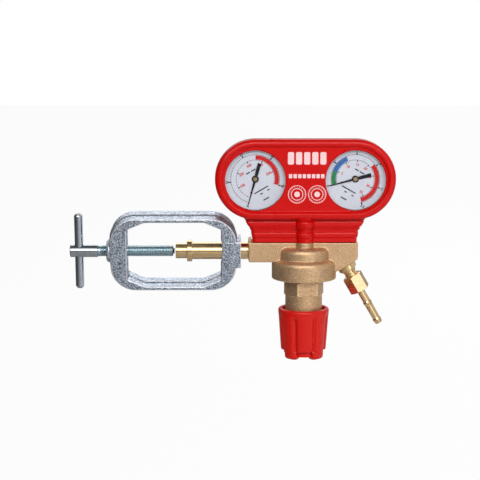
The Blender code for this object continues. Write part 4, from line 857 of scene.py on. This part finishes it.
def build_gauge(prefix, looks):
    place = pose(turn=(90, GAUGE_TILT[prefix], 0), origin=GAUGE_POINTS[prefix])
    dial = [(1.6, 11.0, 0), (28.6, 11.0, 0.1), (28.6, DIAL_FRONT, 0.2), (1.6, DIAL_FRONT, 0.1)]
    piece(f"{prefix}_dial_face", turned(dial, place, 128, True), looks["dial_white"], "regulator",
          [f"{prefix}_dial"])
    lens = [(0.5, 13.7, 0), (29.0, 13.7, 0.2), (29.0, 15.0, 0.6), (0.5, 15.05, 0)]
    piece(f"{prefix}_lens", turned(lens, place, 128), looks["clear_lens"], "regulator",
          [f"{prefix}_window"])
    if prefix == "inlet_gauge":
        black, red = scale_marks(place, ("0", "10", "20", "30", "40"), ("0", "100", "200", "300", "400", "500"), 10, 46.55)
        red.append(band(place, 18.0, 21.9, 30.5, 135.0))
    else:
        black, red = scale_marks(place, ("0", "0.5", "1", "1.5", "2", "2.5"), ("0", "5", "10", "15", "20", "25", "30", "35"),
                                 10, 37.2)
        red.append(band(place, 18.0, 22.0, 382.0, 495.0))
        piece(f"{prefix}_green_band", band(place, 18.0, 22.0, 225.0, 260.0), looks["print_green"], "regulator")
        piece(f"{prefix}_blue_band", band(place, 18.0, 22.0, 260.0, 308.0), looks["print_blue"], "regulator")
    black += plain_dashes(place, ((-5.0, 7.4, 4.0), (0.2, 7.4, 4.6), (-7.5, -12.0, 14.5), (-3.0, -15.2, 2.4), (4.4, -15.2, 2.4),
                                  (-3.2, -21.4, 6.0)))
    piece(f"{prefix}_black_scale", merged(black), looks["print_black"], "regulator")
    piece(f"{prefix}_red_scale", merged(red), looks["print_red"], "regulator")

    rest = place @ pose(turn=(0, 0, -135), origin=Vector())
    upper = [(25.0, 0.22, 0), (4.0, 1.0, 0), (-3.0, 1.2, 0), (-4.5, 1.55, 0.5), (-15.0, 1.65, 0.3)]
    lower = [(x, -y, r) for x, y, r in reversed(upper)]
    blade = prism(soften(lower + upper, 3, True), 12.1, 12.5, rest)
    hub = turned([(1.0, 11.9, 0), (3.25, 11.9, 0.1), (3.25, 12.85, 0.35), (1.0, 12.85, 0)], place, 64)
    bore = turned([(1.0, 11.0, 0), (1.0, 14.0, 0)], place, 48)
    piece(f"{prefix}_pointer_hand", shaped(blade, [hub], [bore]), looks["pointer_black"], f"{prefix}_pointer",
          [f"{prefix}_pointer"])


# ---------------------------------------------------------------- carried-over nodes, stage, light, camera

def dress_cad_nodes(looks):
    """Gives every CAD node that is still shown the procedural finish of its record slot."""
    slots = {part["node"]: part["material_slot"] for part in frame["record"]["subparts"]}
    slots = {node: {"zinc_plate": "bar_zinc"}.get(slot, slot) for node, slot in slots.items()}
    for node, obj in frame["nodes"].items():
        obj.data.materials.clear()
        obj.data.materials.append(looks[slots[node]])


def build_stage():
    low = cad_box[0][2]
    mesh = bmesh.new()
    bmesh.ops.create_grid(mesh, x_segments=1, y_segments=1, size=6.0)
    data = bpy.data.meshes.new("floor")
    mesh.to_mesh(data)
    mesh.free()
    floor = bpy.data.objects.new("floor", data)
    floor.location.z = low - 0.12
    bpy.context.scene.collection.objects.link(floor)
    material = bpy.data.materials.new("pale_floor")
    material.use_nodes = True
    nodes, links = material.node_tree.nodes, material.node_tree.links
    shader = nodes["Principled BSDF"]
    shader.inputs["Roughness"].default_value = 0.9
    glow = nodes.new("ShaderNodeEmission")
    glow.inputs["Color"].default_value = (1, 1, 1, 1)
    glow.inputs["Strength"].default_value = 1.0
    seen = nodes.new("ShaderNodeLightPath")
    share = nodes.new("ShaderNodeMath")
    share.operation = "MULTIPLY"
    share.inputs[1].default_value = 0.96
    mix = nodes.new("ShaderNodeMixShader")
    where = nodes.new("ShaderNodeTexCoord")
    split = nodes.new("ShaderNodeSeparateXYZ")
    tone = nodes.new("ShaderNodeMapRange")
    tone.inputs["From Min"].default_value = -0.45
    tone.inputs["From Max"].default_value = 0.45
    tone.inputs["To Min"].default_value = 0.1
    tone.inputs["To Max"].default_value = 0.92
    links.new(where.outputs["Object"], split.inputs[0])
    links.new(split.outputs["X"], tone.inputs["Value"])
    links.new(tone.outputs["Result"], shader.inputs["Base Color"])
    links.new(seen.outputs["Is Camera Ray"], share.inputs[0])
    links.new(share.outputs[0], mix.inputs["Fac"])
    links.new(shader.outputs["BSDF"], mix.inputs[1])
    links.new(glow.outputs["Emission"], mix.inputs[2])
    side = nodes.new("ShaderNodeNewGeometry")
    clear = nodes.new("ShaderNodeBsdfTransparent")
    above = nodes.new("ShaderNodeMixShader")
    links.new(side.outputs["Backfacing"], above.inputs["Fac"])
    links.new(mix.outputs["Shader"], above.inputs[1])
    links.new(clear.outputs["BSDF"], above.inputs[2])
    links.new(above.outputs["Shader"], nodes["Material Output"].inputs["Surface"])
    data.materials.append(material)


def area_light(name, place, aim, width, height, power, colour=(1, 1, 1)):
    light = bpy.data.lights.new(name, "AREA")
    light.shape = "RECTANGLE"
    light.size = width
    light.size_y = height
    light.energy = power
    light.color = colour
    obj = bpy.data.objects.new(name, light)
    obj.location = place
    obj.rotation_euler = (Vector(aim) - Vector(place)).to_track_quat("-Z", "Y").to_euler()
    bpy.context.scene.collection.objects.link(obj)
    return obj


def build_lights():
    world = bpy.data.worlds.new("studio")
    bpy.context.scene.world = world
    world.use_nodes = True
    nodes, links = world.node_tree.nodes, world.node_tree.links
    where = nodes.new("ShaderNodeTexCoord")
    split = nodes.new("ShaderNodeSeparateXYZ")
    ramp = nodes.new("ShaderNodeValToRGB")
    span = nodes.new("ShaderNodeMapRange")
    span.inputs["From Min"].default_value = -1.0
    span.inputs["From Max"].default_value = 1.0
    links.new(where.outputs["Generated"], split.inputs[0])
    links.new(split.outputs["Z"], span.inputs["Value"])
    links.new(span.outputs["Result"], ramp.inputs["Fac"])
    stops = ((0.0, 0.25), (0.45, 0.26), (0.55, 0.30), (0.66, 0.50), (0.84, 0.50), (0.92, 0.20), (1.0, 0.14))
    elements = ramp.color_ramp.elements
    while len(elements) < len(stops):
        elements.new(0.5)
    for element, (place, level) in zip(elements, stops):
        element.position = place
        element.color = (level, level, level * 1.02, 1)
    seen = nodes.new("ShaderNodeLightPath")
    mix = nodes.new("ShaderNodeMix")
    mix.data_type = "RGBA"
    links.new(seen.outputs["Is Camera Ray"], mix.inputs["Factor"])
    side = nodes.new("ShaderNodeMapRange")
    side.inputs["From Min"].default_value = -1.0
    side.inputs["From Max"].default_value = 1.0
    side.inputs["To Min"].default_value = 0.2
    side.inputs["To Max"].default_value = 1.6
    links.new(split.outputs["X"], side.inputs["Value"])
    sided = nodes.new("ShaderNodeVectorMath")
    sided.operation = "SCALE"
    links.new(ramp.outputs["Color"], sided.inputs[0])
    links.new(side.outputs["Result"], sided.inputs["Scale"])
    links.new(sided.outputs["Vector"], mix.inputs["A"])
    mix.inputs["B"].default_value = (1, 1, 1, 1)
    background = nodes["Background"]
    background.inputs["Strength"].default_value = 1.0
    links.new(mix.outputs["Result"], background.inputs["Color"])
    middle = (CROSSING.x - 0.06, 0.0, 0.0)
    area_light("key", (middle[0] - 0.3, -1.55, 0.95), middle, 2.0, 1.3, 11)
    area_light("strip", (middle[0], -1.6, 0.80), middle, 2.4, 0.26, 15)
    area_light("fill", (middle[0] + 0.9, -1.5, 0.22), middle, 0.5, 0.9, 2.6)
    area_light("rim", (middle[0], 1.45, 1.15), middle, 2.4, 0.7, 14)


def build_camera():
    data = bpy.data.cameras.new("camera")
    camera = bpy.data.objects.new("camera", data)
    bpy.context.scene.collection.objects.link(camera)
    aim = Vector((CROSSING.x - 0.0597, 0.0, 0.0100))
    turn, height, distance, roll = math.radians(-1), math.radians(8.5), 1.4, math.radians(0.08)
    back = Vector((math.sin(turn) * math.cos(height), -math.cos(turn) * math.cos(height), math.sin(height)))
    data.sensor_width = 36
    data.lens = 36 * distance / (480 * 0.0009309)
    camera.location = aim + back * distance
    level = (-back).to_track_quat("-Z", "Y").to_matrix()
    camera.rotation_euler = (level @ Matrix.Rotation(roll, 3, "Z")).to_euler()
    bpy.context.scene.camera = camera


def main():
    looks = make_materials()
    dress_cad_nodes(looks)
    build_body(looks)
    build_bonnet(looks)
    build_springs(looks)
    build_knob(looks)
    build_inlet(looks)
    build_yoke(looks)
    build_clamp(looks)
    build_outlet(looks)
    build_front_housing(looks)
    build_back_housing(looks)
    build_panel_prints(looks)
    for prefix in GAUGE_POINTS:
        build_gauge(prefix, looks)
    build_stage()
    build_lights()
    build_camera()
    bpy.context.scene.view_settings.view_transform = "Standard"


main()
